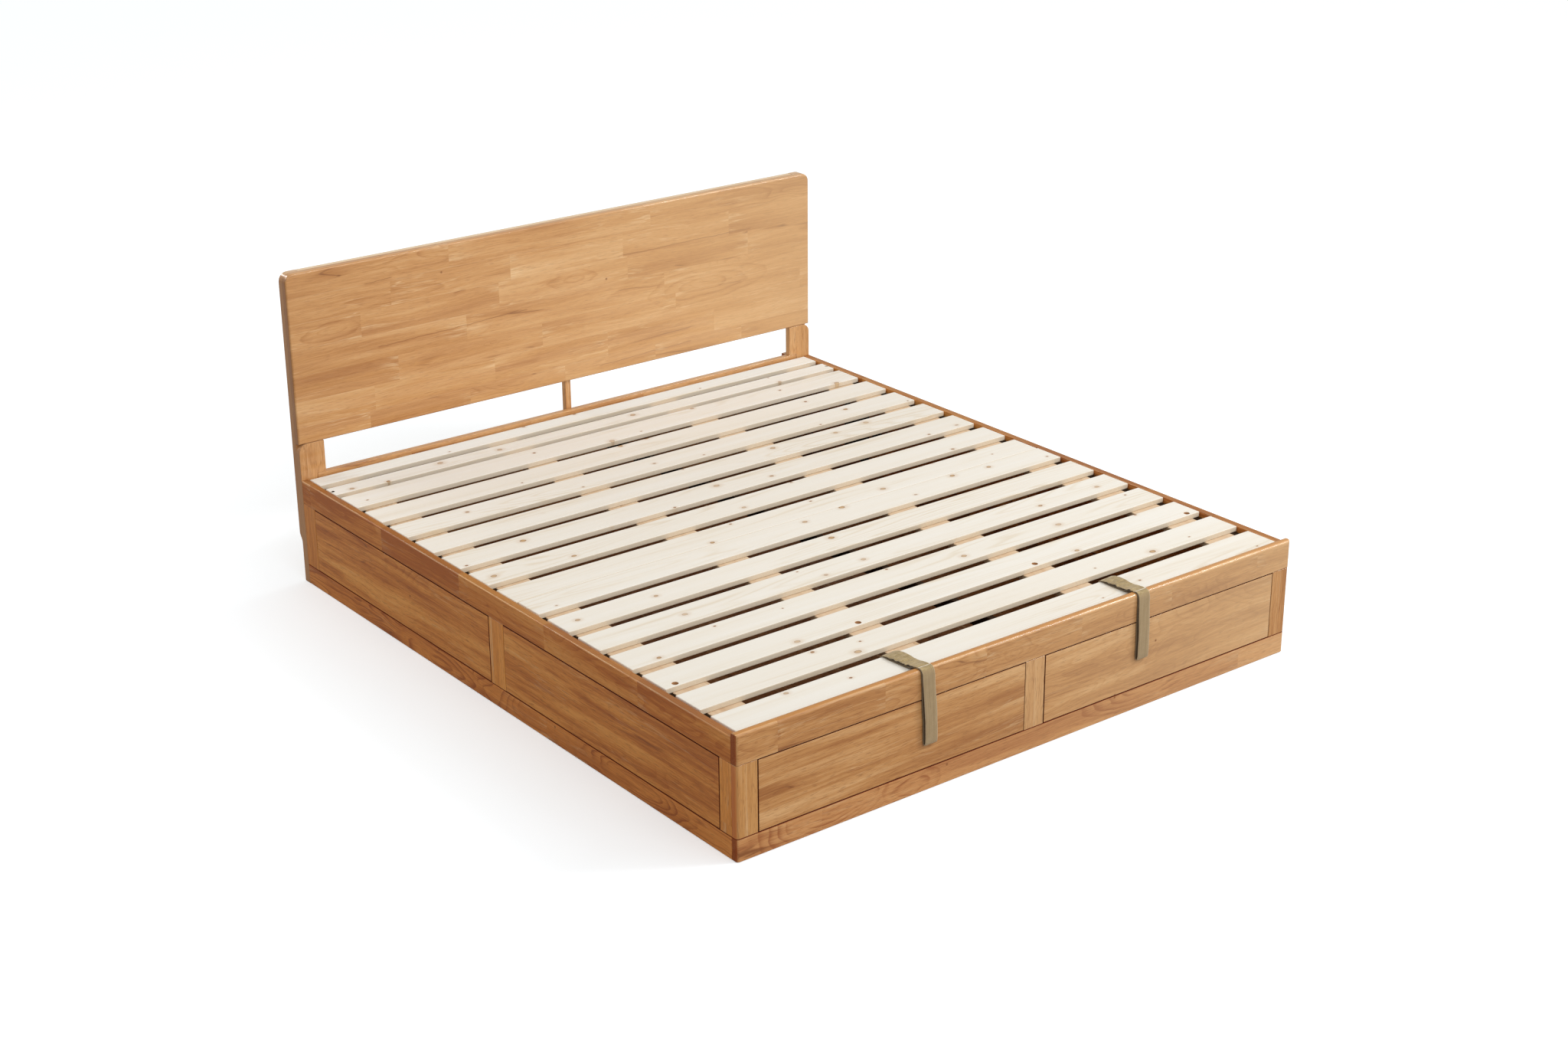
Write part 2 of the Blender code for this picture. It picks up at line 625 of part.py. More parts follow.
def hinge_bracket(side, outward):
    """Steel plate on the side of the box with the platform's hinge pin and the lower strut pin."""
    wall = outward.x * (INNER_HALF - FIT)
    face = outward.x * (INNER_HALF - FIT - BRACKET_THICKNESS)
    centre_y = HINGE_Y - STRUT_FOOT_FORWARD
    lower_z = HINGE_Z - STRUT_FOOT_DROP
    low_z = lower_z - BRACKET_MARGIN
    high_z = HINGE_Z + BRACKET_MARGIN
    name = f"{side}_hinge_bracket"
    plate = board(name, (min(wall, face), centre_y - BRACKET_MARGIN, low_z),
                  (max(wall, face), HINGE_Y + BRACKET_MARGIN, high_z), BLACK_STEEL,
                  [(corner(REAR, UP), BRACKET_MARGIN * 0.8, 4), (corner(FRONT, UP), BRACKET_MARGIN, 4),
                   (corner(FRONT, -UP), BRACKET_MARGIN * 0.8, 4)],
                  eased=BRACKET_THICKNESS / 10)
    root_x = outward.x * (INNER_HALF - FIT - BRACKET_THICKNESS / 2)
    tube_inner = outward.x * (TUBE_X - TUBE_WIDTH / 2)
    head_x = tube_inner - outward.x * (FIT + PIN_HEAD_THICKNESS)
    pins = (
        ("hinge_pin", HINGE_PIN_RADIUS, HINGE_Y, HINGE_Z),
        ("strut_pin", PIN_RADIUS, centre_y, lower_z),
    )
    for pin, radius, y, z in pins:
        ends = (root_x, head_x)
        join(plate, rod(f"{name}_{pin}", radius, (min(ends), y, z), (max(ends), y, z), "X"))
        ends = (tube_inner - outward.x * FIT, head_x)
        join(plate, rod(f"{name}_{pin}_head", radius + PIN_HEAD_LIP, (min(ends), y, z),
                        (max(ends), y, z), "X"))
    bolt_face = face - outward.x * BRACKET_BOLT_HEAD
    ends = (root_x, bolt_face)
    bolts = (
        (HINGE_Y, (HINGE_Z + lower_z) / 2),
        (HINGE_Y, lower_z),
        (centre_y, (HINGE_Z + lower_z) / 2),
    )
    for i, (y, z) in enumerate(bolts):
        join(plate, rod(f"{name}_bolt_{i}", BRACKET_BOLT_RADIUS, (min(ends), y, z), (max(ends), y, z), "X"))


def strut(side, outward):
    """Gas strut: the cylinder turns on the bracket, the rod slides in it up to the tube's ears."""
    x = outward.x * TUBE_X
    foot = Vector((x, HINGE_Y - STRUT_FOOT_FORWARD, HINGE_Z - STRUT_FOOT_DROP))
    hub = pivot(f"{side}_strut_pivot", foot, STRUT_TURN)
    name = f"{side}_strut_cylinder"
    mouth = STRUT_LENGTH - CYLINDER_SETBACK
    body = rod(name, CYLINDER_RADIUS, (0, 0, LOWER_EYE_RADIUS / 2), (0, 0, mouth), "Z", hub, BLACK_STEEL)
    half_eye = EYE_WIDTH / 2
    join(body, rod(f"{name}_eye", LOWER_EYE_RADIUS, (-half_eye, 0, 0), (half_eye, 0, 0), "X", hub))
    hole = half_eye + CYLINDER_RADIUS
    cut(body, rod(f"{name}_eye_hole", PIN_RADIUS + PIN_CLEARANCE, (-hole, 0, 0), (hole, 0, 0), "X", hub))
    cut(body, rod(f"{name}_bore", ROD_RADIUS + ROD_CLEARANCE, (0, 0, BORE_FLOOR),
                  (0, 0, mouth + OVERRUN), "Z", hub))
    eye_z = STRUT_LENGTH + EYE_AHEAD
    name = f"{side}_strut_rod"
    rod_start = max(mouth - ROD_TRAVEL, BORE_FLOOR + OVERRUN)
    piston = rod(name, ROD_RADIUS, (0, 0, rod_start), (0, 0, eye_z - PIN_RADIUS - PIVOT_PLAY - FIT), "Z", hub,
                 BRIGHT_STEEL)
    join(piston, rod(f"{name}_eye", UPPER_EYE_RADIUS, (-half_eye, 0, eye_z), (half_eye, 0, eye_z), "X", hub))
    cut(piston, rod(f"{name}_eye_hole", PIN_RADIUS + PIVOT_PLAY, (-hole, 0, eye_z), (hole, 0, eye_z), "X", hub))


def lift_frame():
    for side, outward in (("left", LEFT), ("right", RIGHT)):
        x = outward.x * TUBE_X
        name = f"{side}_lift_tube"
        tube = lift_tube(name, x)
        strut_ears(tube, name, x)
        hole = TUBE_WIDTH / 2 + OVERRUN
        mesh = cylinder_mesh(f"{name}_hinge_hole", HINGE_PIN_RADIUS + PIN_CLEARANCE, hole + hole, "X")
        cut(tube, finish(mesh.name, mesh, None, Vector((x, HINGE_Y, HINGE_Z)), PLATFORM, True))
        hinge_bracket(side, outward)
        strut(side, outward)
    lift_tube("centre_lift_tube", 0)
    ledge_x = INNER_HALF - FIT
    board("foot_ledge", (-ledge_x, FOOT_BACK_Y + FIT, TUBE_BOTTOM - FIT - LEDGE_HEIGHT),
          (ledge_x, FOOT_BACK_Y + LEDGE_DEPTH, TUBE_BOTTOM - FIT), FLOOR_WOOD)
    board("storage_floor", (-ledge_x, FOOT_BACK_Y + FIT, 0),
          (ledge_x, HEAD_Y - FIT, FLOOR_THICKNESS), FLOOR_WOOD)


# Pull straps

def smooth_route(points, steps):
    """A smooth line through the points, whose first two numbers are places; the rest follow."""
    spans = [math.sqrt(math.dist(p[:2], q[:2])) for p, q in zip(points, points[1:])]
    slopes = []
    for i in range(len(points)):
        before, after = max(i - 1, 0), min(i, len(spans) - 1)
        slope = []
        for k in range(len(points[i])):
            left = (points[before + 1][k] - points[before][k]) / spans[before]
            right = (points[after + 1][k] - points[after][k]) / spans[after]
            slope.append((left * spans[after] + right * spans[before]) / (spans[before] + spans[after]))
        slopes.append(slope)
    line = []
    for i, span in enumerate(spans):
        for step in range(steps):
            t = step / steps
            rise = t * t * (3 - 2 * t)
            line.append([
                p + (q - p) * rise + span * t * (1 - t) * ((1 - t) * m - t * n)
                for p, q, m, n in zip(points[i], points[i + 1], slopes[i], slopes[i + 1])
            ])
    line.append(list(points[-1]))
    return line


def strap_route(bottom):
    """(Y, Z, sideways share, roll) along the doubled webbing, one end under the slat to the other."""
    half = WEB_THICKNESS / 2
    near = FIT + half
    under = SLAT_BOTTOM - near
    under_outer = under - PLY_STEP
    behind = LAST_SLAT_BACK + near
    behind_outer = behind + PLY_STEP
    tail = LAST_SLAT_BACK - STRAP_TAIL
    lie = SIDE_TOP + near
    rail_in = FOOT_TOP + near
    rail_out = rail_in + PLY_STEP
    face_in = FOOT_Y - STRAP_LIE_OUT
    face_out = FOOT_Y - STRAP_HANG_OUT
    drop = FOOT_TOP - bottom
    run = LAST_SLAT_BACK - FOOT_BACK_Y
    swell = lie + STRAP_SWELL
    outer_layer = [
        (tail, under_outer, 0.0, 0.0),
        (LAST_SLAT_BACK - PLY_STEP, under_outer - half, 0.0, 0.0),
        (behind_outer, SLAT_BOTTOM + half, 0.0, 0.0),
        (behind_outer, SIDE_TOP - half, 0.0, 0.02),
        (behind - PLY_STEP, lie + PLY_STEP + half, 0.0, 0.06),
        (LAST_SLAT_BACK - run * 0.20, swell, 0.06, 0.16),
        (LAST_SLAT_BACK - run * 0.45, swell + PLY_STEP, 0.16, 0.14),
        (LAST_SLAT_BACK - run * 0.70, swell, 0.28, 0.05),
        (FOOT_BACK_Y + BOARD / 5, rail_out + half, 0.38, 0.0),
        (FOOT_Y + BOARD * 0.40, rail_out + half, 0.44, 0.0),
        (FOOT_Y - BOARD * 0.10, rail_out - PLY_STEP, 0.48, 0.0),
        (FOOT_Y - BOARD * 0.36, FOOT_TOP - FOOT_ROUND, 0.52, 0.0),
        (face_out + PLY_STEP, FOOT_TOP - drop * 0.20, 0.60, 0.0),
        (face_out + PLY_STEP * 0.2, FOOT_TOP - drop * 0.45, 0.76, 0.0),
        (face_out, FOOT_TOP - drop * 0.65, 0.88, 0.0),
        (face_out + PLY_STEP * 0.2, FOOT_TOP - drop * 0.82, 0.95, 0.0),
        (face_out + PLY_STEP, bottom + WEB_WIDTH * 0.12, 1.0, 0.0),
        ((face_in + face_out) / 2, bottom, 1.0, 0.0),
    ]
    inner_layer = [
        (face_in, bottom + WEB_WIDTH * 0.12, 1.0, 0.0),
        (face_in, FOOT_TOP - drop * 0.70, 0.88, 0.0),
        (face_in, FOOT_TOP - drop * 0.35, 0.68, 0.0),
        (face_in, FOOT_TOP - FOOT_ROUND, 0.52, 0.0),
        (FOOT_Y, rail_in - half, 0.48, 0.0),
        (FOOT_Y + BOARD * 0.45, rail_in, 0.44, 0.0),
        (FOOT_BACK_Y, rail_in - half / 2, 0.38, 0.0),
        (FOOT_BACK_Y + run * 0.20, lie + PLY_STEP, 0.28, 0.0),
        (FOOT_BACK_Y + run * 0.50, lie, 0.16, 0.0),
        (FOOT_BACK_Y + run * 0.80, lie, 0.06, 0.0),
        (LAST_SLAT_BACK - PLY_STEP, lie + half, 0.0, 0.0),
        (behind, SIDE_TOP - PLY_STEP, 0.0, 0.0),
        (behind, SLAT_BOTTOM + PLY_STEP, 0.0, 0.0),
        (LAST_SLAT_BACK - PLY_STEP, under - half, 0.0, 0.0),
        (tail, under, 0.0, 0.0),
    ]
    turned = [(y, z, share, roll, 0.0) for y, z, share, roll in outer_layer]
    turned += [(y, z, share, roll, 1.0) for y, z, share, roll in inner_layer]
    return turned


def pull_strap(name, x, drift, bottom):
    """A loop of webbing from under the last slat, over the foot rail and down its face."""
    shape = bmesh.new()
    rows = []
    for y, z, share, roll, ply in smooth_route(strap_route(bottom), STRAP_STEPS):
        centre = Vector((x + drift * share - PLY_DRIFT * ply * share, y, z))
        across = Vector((math.cos(roll), 0, math.sin(roll))) * WEB_WIDTH / 2
        rows.append([shape.verts.new(centre + across * way) for way in (-1, 0, 1)])
    for first, second in zip(rows, rows[1:]):
        for i in range(len(first) - 1):
            shape.faces.new((first[i], first[i + 1], second[i + 1], second[i]))
    obj = finish(name, to_mesh(shape, name), WEBBING)
    obj.data.transform(Matrix.Translation(-PLATFORM.location))
    obj.parent = PLATFORM
    obj.data.shade_smooth()
    thick = obj.modifiers.new("webbing", "SOLIDIFY")
    thick.thickness = WEB_THICKNESS
    thick.offset = 0
    thick.use_even_offset = True


foot_frame()
side_frame("left", LEFT)
side_frame("right", RIGHT)
headboard()
slats()
bearers()
lift_frame()
pull_strap("left_pull_strap", LEFT_STRAP_X, LEFT_STRAP_DRIFT, LEFT_STRAP_BOTTOM)
pull_strap("right_pull_strap", RIGHT_STRAP_X, RIGHT_STRAP_DRIFT, RIGHT_STRAP_BOTTOM)
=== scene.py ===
"""Looks of the storage bed frame: lacquered wood, bare pine slats, steel and webbing."""
import math

import bmesh
import bpy
from mathutils import Matrix, Vector


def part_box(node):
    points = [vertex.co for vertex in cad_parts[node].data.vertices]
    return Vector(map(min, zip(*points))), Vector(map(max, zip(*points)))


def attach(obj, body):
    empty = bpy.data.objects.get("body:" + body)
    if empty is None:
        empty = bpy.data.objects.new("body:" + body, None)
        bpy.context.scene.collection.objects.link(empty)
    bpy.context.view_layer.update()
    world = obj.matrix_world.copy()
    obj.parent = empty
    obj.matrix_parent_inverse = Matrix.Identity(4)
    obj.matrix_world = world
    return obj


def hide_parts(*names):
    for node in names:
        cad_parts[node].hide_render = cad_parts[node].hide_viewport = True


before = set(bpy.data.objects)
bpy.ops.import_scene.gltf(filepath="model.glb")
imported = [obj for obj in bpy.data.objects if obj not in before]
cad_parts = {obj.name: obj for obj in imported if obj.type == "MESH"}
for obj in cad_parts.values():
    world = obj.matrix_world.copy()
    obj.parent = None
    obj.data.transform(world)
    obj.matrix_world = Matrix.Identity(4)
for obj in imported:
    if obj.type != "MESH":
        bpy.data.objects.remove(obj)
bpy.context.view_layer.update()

# Camera, fitted to the photograph's edges
CAMERA_PLACE = (-3.90223, -5.08813, 2.87266)
CAMERA_YAW, CAMERA_PITCH, CAMERA_ROLL = 37.6873, -22.0362, -0.3552
CAMERA_LENS, CAMERA_SENSOR = 56.890, 36.0

# Palettes, linear: dark, middle, light
HONEY = ((0.440, 0.183, 0.052), (0.620, 0.318, 0.118), (0.760, 0.468, 0.226))
FOOT = ((0.400, 0.158, 0.044), (0.592, 0.290, 0.100), (0.745, 0.438, 0.198))
PALE = ((0.540, 0.270, 0.105), (0.680, 0.385, 0.165), (0.780, 0.500, 0.250))
YELLOW = ((0.480, 0.210, 0.056), (0.630, 0.312, 0.098), (0.730, 0.420, 0.165))
SIDE = ((0.440, 0.130, 0.026), (0.690, 0.265, 0.058), (0.850, 0.400, 0.110))
RUSSET = ((0.400, 0.142, 0.046), (0.635, 0.304, 0.113), (0.760, 0.440, 0.202))
SIDE_PALE = ((0.540, 0.180, 0.036), (0.810, 0.335, 0.074), (0.900, 0.450, 0.135))
SIDE_RUSSET = ((0.410, 0.115, 0.024), (0.715, 0.265, 0.058), (0.860, 0.395, 0.110))
OAK = ((0.180, 0.062, 0.016), (0.290, 0.110, 0.032), (0.390, 0.165, 0.055))
CREAM = ((0.720, 0.620, 0.470), (0.850, 0.815, 0.740), (0.880, 0.870, 0.830))
# painted light: the paler cream of the slats nearest the head
LIT_CREAM = ((0.770, 0.700, 0.560), (0.900, 0.890, 0.840), (0.920, 0.925, 0.905))
PEACH = ((0.560, 0.360, 0.210), (0.720, 0.540, 0.370), (0.800, 0.650, 0.480))
BLACK_COAT = ((0.016, 0.008, 0.004), (0.028, 0.014, 0.007), (0.044, 0.024, 0.012))
ROD_STEEL = ((0.60, 0.60, 0.61), (0.70, 0.70, 0.71), (0.78, 0.77, 0.76))
WEB_GREY = ((0.255, 0.178, 0.090), (0.395, 0.284, 0.152), (0.530, 0.410, 0.250))
# the olive copy is painted light, for the webbing's up-facing faces
WEB_OLIVE_LIT = ((0.215, 0.150, 0.062), (0.405, 0.302, 0.146), (0.590, 0.470, 0.262))

# Single colours, linear
END_GRAIN = (0.270, 0.050, 0.010)
# pale flecks and sapwood; also the colour of the painted sheen and the painted arris highlight
PALE_FLECK_AND_SHEEN = (0.860, 0.620, 0.360)
DARK_VEIN = (0.240, 0.085, 0.026)
# painted shade: the dark of the grooves, painted on the faces that lie in them
GROOVE_SHADE = (0.170, 0.036, 0.016)
# painted highlight on the top of the headboard's top rail
CROWN_HIGHLIGHT = (0.900, 0.700, 0.460)
# painted light on the legs' tops and painted shade on their outer sides
LEG_TOP_LIGHT = (0.800, 0.560, 0.330)
LEG_SIDE_SHADE = (0.430, 0.200, 0.078)
PANEL_END = (0.350, 0.150, 0.050)
# painted shade on the side top rails' tops and outer faces
SIDE_RAIL_TOP_SHADE = (0.270, 0.098, 0.012)
SIDE_RAIL_FACE_SHADE = (0.450, 0.118, 0.010)
# painted shade on the foot top rail's top
FOOT_RAIL_TOP_SHADE = (0.530, 0.218, 0.032)
# painted shade on the outer side of the foot's left stile
FOOT_CORNER_SHADE = (0.600, 0.168, 0.026)
KNOT_HALO = (0.620, 0.430, 0.260)
KNOT_DARK, KNOT_TAN = (0.300, 0.130, 0.050), (0.560, 0.370, 0.190)
KNOT_RIM = (0.240, 0.100, 0.036)
# painted shade on the side faces of slats and bearers
PINE_SIDE_SHADE = (0.620, 0.495, 0.330)
# painted shade inside the slats' screw holes; near black inside the bolt holes
SCREW_HOLE_SHADE, BOLT_HOLE = (0.480, 0.260, 0.120), (0.040, 0.024, 0.016)
SELVEDGE = (0.600, 0.500, 0.350)
# painted highlight along the crease of the webbing
CREASE_HIGHLIGHT = (0.860, 0.830, 0.760)
# painted shade on the inner ply of the webbing
INNER_PLY_SHADE = (0.090, 0.055, 0.026)
FLOOR_PAPER = (0.820, 0.887, 0.955)
FLOOR_GLOW = (1.000, 0.985, 0.970)
FLOOR_DIM = (0.340, 0.340, 0.340)
ROOM_LIGHT = (1.000, 0.950, 0.880)

# Growth rings on the boards: (along, across, reach along, reach across, pitch)
HEADBOARD_EYES = (
    (0.50, 0.640, 0.30, 0.075, 0.060), (-0.80, 0.745, 0.16, 0.040, 0.055),
    (-0.60, 0.812, 0.26, 0.030, 0.085), (0.02, 0.745, 0.10, 0.030, 0.045),
    (-0.27, 0.603, 0.05, 0.012, 0.018),
)
SIDE_RAIL_EYES = (          # along counts from the face of the foot
    (0.400, 0.034, 0.290, 0.065, 0.036), (1.350, 0.022, 0.260, 0.060, 0.048),
)
FOOT_TOP_EYES = (           # across counts down from the rail's top
    (-0.070, 0.040, 0.055, 0.030, 0.016), (-0.165, 0.040, 0.060, 0.022, 0.024),
    (-0.860, 0.035, 0.110, 0.040, 0.040), (0.335, 0.045, 0.080, 0.028, 0.022),
    (0.740, 0.040, 0.120, 0.030, 0.032),
)
FOOT_BOTTOM_EYES = (
    (-0.640, 0.050, 0.30, 0.115, 0.026), (-0.400, 0.030, 0.10, 0.050, 0.030),
    (0.400, 0.060, 0.28, 0.060, 0.050),
)
# Dark veins on the headboard: (along, across) of both ends
HEADBOARD_STROKES = (
    (-0.66, 0.667, -0.14, 0.683), (0.18, 0.788, 0.70, 0.790), (-0.69, 0.860, -0.59, 0.866),
    (-0.40, 0.781, -0.35, 0.784), (0.56, 0.626, 0.66, 0.622), (0.10, 0.452, 0.46, 0.464),
)

# Wood figure as stretched noise: cycles per metre along and across the grain, detail, roughness,
# distortion; what isn't given is the noise's own default
SWAY = (2.6, 8.0)
STREAK = (3.0, 85, 5.0, 0.68)
GRAIN = (8, 330, 3.0, 0.65)
FIBRE = (30, 800, 2.0, 0.6)
PORES = (36, 560, 1.0)
DASHES = (4.5, 260, 3.0, 0.6)
PATCHES = (3.1, 22)
RING_FIELD = (2.2, 8.0, 2.0, 0.45, 0.35)
RING_PLACES = (1.0, 5.0, 1.0)
SEAM = (1.3, 15)
PALE_SEAM = (2.2, 42, 3.0, 0.6)
CLOUD = (7.0, 60, 4.0, 0.65)
WANDER = (14, 2, 3.0, 0.6)
RING_COUNT = 19
STAVE_SWAY = 0.030
STAVE_APART = 20            # how far each stave is moved in the timber it is cut from
VEIN_WANDER = 0.010
VEIN_THIN, VEIN_SWELL = 0.0008, 0.0022
VEIN_TAPER = 0.012          # a vein fades over this length at its ends
VEIN_SHADOW, VEIN_FRINGE = 0.016, 0.002
PIN_KNOTS = (7, 14)         # cells per metre along and across
PIN_RADIUS, PIN_HEART = 0.0055, 0.0008
GLUE_LINE = 0.0016
GROOVE_RIM = 0.0023         # width of the painted groove shade round the rim of an inset panel

PINE_STREAK = (0.8, 30, 3.0, 0.55, 0.3)
PINE_FIBRE = (16, 800, 2.0, 0.6)
PINE_FIELD = (0.9, 11, 1.0, 0.4, 0.2)
PINE_PLACES = (0.9, 5, 1.0)
PINE_WOBBLE = (90, 120)
PINE_KNOTS = (5.2, 9.0)     # cells per metre along and across
KNOT_RADIUS, KNOT_SPREAD, KNOT_WOBBLE = 0.0025, 0.0062, 0.004
PINE_RINGS = 34
PINE_ARRIS = 0.0015

COAT_PEEL, COAT_DUST = (420, 420), (9, 9, 4.0, 0.6)
STEEL_DRAW, STEEL_FILM = (900, 60), (40, 40, 3.0)
WEB_PATCH = (30, 30, 3.0, 0.6)

# Surface relief: depth and strength
WOOD_RELIEF = (0.00025, 0.25)
PINE_RELIEF = (0.0003, 0.45)
COAT_RELIEF = (0.0002, 0.5)
STEEL_RELIEF = (0.00005, 0.3)
WEB_RELIEF = (0.0004, 0.6)

SIGN = {"+": 1.0, "-": -1.0}
SIDES = (("left", "-X"), ("right", "+X"))
SLATS = 16

# Pull straps
WEB_WIDTH, WEB_THICKNESS, PLY_STEP = 0.038, 0.0014, 0.0021
STRAP_TAIL = 0.034          # webbing fastened under the last slat
STRAP_SWELL = 0.009         # how high the upper layer arches over the slat
STRAP_HANG_OUT = 0.0105     # outer layer from the face of the foot
STRAP_LIE_OUT = 0.0030      # inner layer from the face of the foot
CREASE_BACK = 0.007         # the crease lies this far behind the face of the foot
INNER_PLY = 10.0            # added to the inner ply's place along the webbing, to tell it apart
PLY_DRIFT = 0.0015          # the inner ply shows at the left edge
WARP_PITCH, WEFT_PITCH, HERRINGBONE = 0.0008, 0.0006, 0.00475
SELVEDGE_RIM = (0.0014, 0.0004)
CREASE_LINE = (0.0014, 0.0006)
RIPPLE, SAG = 0.00028, 0.0002       # how far the webbing wavers out of its route
RUFFLE = 0.0019                     # how far it lifts where it lies loose on the slat
PUCKER = 0.0024                     # how far it lifts in a fold just behind the crease
PUCKER_BACK, PUCKER_WIDTH = 0.0032, 0.0016
LOOSE_FROM_CREASE, LOOSE_FROM_GAP = 0.004, 0.012
FIT = 0.0003
FOOT_ROUND = 0.008
BOARD = 0.020
COLUMNS = 16
STEPS = 12                  # stations between two route points
# (name, X at the slat gap, sideways travel, height of the hanging end, seed of the wrinkles)
STRAPS = (
    ("left_pull_strap", -0.372, 0.0235, 0.1275, 1.0),
    ("right_pull_strap", 0.3645, 0.0075, 0.1445, 2.0),
)

# Studio
FLOOR_HALF = 60
FLOOR_DROP = 0.0004
GLOW = 0.36
ROOM = 0.55
SOFTBOXES = (               # name, place, width, height, watts
    ("key", (5.5, -4.4, 5.1), 1.8, 1.8, 205.0),
    ("foot_strip", (1.9, -3.1, 3.6), 2.2, 0.4, 28.0),
    ("side_strip", (-2.8, 4.2, 3.0), 3.0, 0.5, 38.0),
)
SUNS = (                    # name, towards, strength, spread in degrees
    ("side_fill", (0.90, 0.05, 0.45), 0.40, 30),
    ("front_fill", (-0.05, -0.85, 0.50), 0.80, 60),
)


# Scene helpers

def put(name, data):
    """A new object in the scene."""
    obj = bpy.data.objects.new(name, data)
    bpy.context.scene.collection.objects.link(obj)
    return obj


def paint(node, material):
    """Give a CAD node its material, in every slot it has."""
    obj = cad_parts[node]
    if not obj.material_slots:
        obj.data.materials.append(material)
    for slot in obj.material_slots:
        slot.material = material


# Node helpers

class Tree:
    """Short calls that add a material's nodes and link them."""

    def __init__(self, material):
        material.use_nodes = True
        self.tree = material.node_tree
        self.shader = self.tree.nodes["Principled BSDF"]

    def node(self, kind, **settings):
        made = self.tree.nodes.new(kind)
        for key, value in settings.items():
            setattr(made, key, value)
        return made

    def feed(self, socket, value):
        if isinstance(value, bpy.types.NodeSocket):
            self.tree.links.new(value, socket)
        else:
            socket.default_value = value

    def math(self, operation, first, second=0.0, clamp=False):
        made = self.node("ShaderNodeMath", operation=operation, use_clamp=clamp)
        self.feed(made.inputs[0], first)
        self.feed(made.inputs[1], second)
        return made.outputs[0]

    def add(self, first, second):
        return self.math("ADD", first, second)

    def times(self, first, second):
        return self.math("MULTIPLY", first, second)

    def step(self, value, low, high):
        """0 below low, 1 above high, eased between."""
        made = self.node("ShaderNodeMapRange", interpolation_type="SMOOTHSTEP")
        self.feed(made.inputs["Value"], value)
        made.inputs["From Min"].default_value = low
        made.inputs["From Max"].default_value = high
        return made.outputs["Result"]

    def ridge(self, value, width):
        """1 on the line where value is 0.5, 0 from width away."""
        away = self.math("ABSOLUTE", self.math("SUBTRACT", value, 0.5))
        return self.math("SUBTRACT", 1.0, self.step(away, 0.0, width))

    def reach(self, off_u, off_v):
        """How far a point is, from its two offsets."""
        return self.math("SQRT", self.add(self.times(off_u, off_u), self.times(off_v, off_v)))

    def join(self, x, y, z=0.0):
        made = self.node("ShaderNodeCombineXYZ")
        for socket, value in zip(made.inputs, (x, y, z)):
            self.feed(socket, value)
        return made.outputs[0]

    def split(self, vector):
        made = self.node("ShaderNodeSeparateXYZ")
        self.feed(made.inputs[0], vector)
        return made.outputs

    def stretch(self, u, v, w, along, across):
        """The point (u, v, w) scaled for a noise that is longer one way than the others."""
        return self.join(self.times(u, along), self.times(v, across), self.times(w, across))

    def figure(self, place, along, across, *settings):
        """Noise that is longer along the grain than across it."""
        return self.noise(self.stretch(*place, along, across), *settings)

    def noise(self, vector, detail=2.0, roughness=0.5, distortion=0.0):
        made = self.node("ShaderNodeTexNoise")
        self.feed(made.inputs["Vector"], vector)
        made.inputs["Scale"].default_value = 1.0
        made.inputs["Detail"].default_value = detail
        made.inputs["Roughness"].default_value = roughness
        made.inputs["Distortion"].default_value = distortion
        return made.outputs["Fac"]

    def chance(self, vector):
        """(value, three more values) that jump at random from cell to cell."""
        made = self.node("ShaderNodeTexWhiteNoise", noise_dimensions="3D")
        self.feed(made.inputs["Vector"], vector)
        return made.outputs["Value"], self.split(made.outputs["Color"])

    def ramp(self, value, colours):
        made = self.node("ShaderNodeValToRGB")
        ramp = made.color_ramp
        while len(ramp.elements) < len(colours):
            ramp.elements.new(0.5)
        for i, (element, colour) in enumerate(zip(ramp.elements, colours)):
            element.position = i / (len(colours) - 1)
            element.color = (*colour, 1.0)
        self.feed(made.inputs["Fac"], value)
        return made.outputs["Color"]

    def blend(self, share, first, second):
        made = self.node("ShaderNodeMix", data_type="RGBA", blend_type="MIX")
        self.feed(made.inputs["Factor"], share)
        for name, value in (("A", first), ("B", second)):
            socket = [s for s in made.inputs if s.name == name and s.type == "RGBA"][0]
            self.feed(socket, value if isinstance(value, bpy.types.NodeSocket) else (*value, 1.0))
        return [s for s in made.outputs if s.type == "RGBA"][0]

    def bump(self, height, distance, strength, base=None):
        made = self.node("ShaderNodeBump")
        made.inputs["Strength"].default_value = strength
        made.inputs["Distance"].default_value = distance
        self.feed(made.inputs["Height"], height)
        if base:
            self.feed(made.inputs["Normal"], base)
        return made.outputs["Normal"]

    def axes(self, order):
        """Object coordinates (along the grain, across it, through the board), and the way the face looks."""
        place = self.node("ShaderNodeTexCoord").outputs
        found = dict(zip("XYZ", self.split(place["Object"])))
        facing = dict(zip("XYZ", self.split(place["Normal"])))
        return [found[letter] for letter in order], facing

    def inside(self, *margins):
        """1 where the place is at least these shares of the box away from its X and Y ends."""
        place = self.split(self.node("ShaderNodeTexCoord").outputs["Generated"])
        kept = 1.0
        for axis, margin in enumerate(margins):
            kept = self.times(kept, self.step(self.math("PINGPONG", place[axis], 0.5), margin * 0.9, margin))
        return kept

    def cells(self, u, v, across_u, across_v):
        """(along, across) from the nearest of scattered points, and that point's random values."""
        made = self.node("ShaderNodeTexVoronoi", voronoi_dimensions="2D", feature="F1")
        self.feed(made.inputs["Vector"], self.join(self.times(u, across_u), self.times(v, across_v)))
        made.inputs["Scale"].default_value = 1.0
        place = self.split(made.outputs["Position"])
        off_u = self.math("SUBTRACT", u, self.math("DIVIDE", place[0], across_u))
        off_v = self.math("SUBTRACT", v, self.math("DIVIDE", place[1], across_v))
        return off_u, off_v, self.split(made.outputs["Color"])

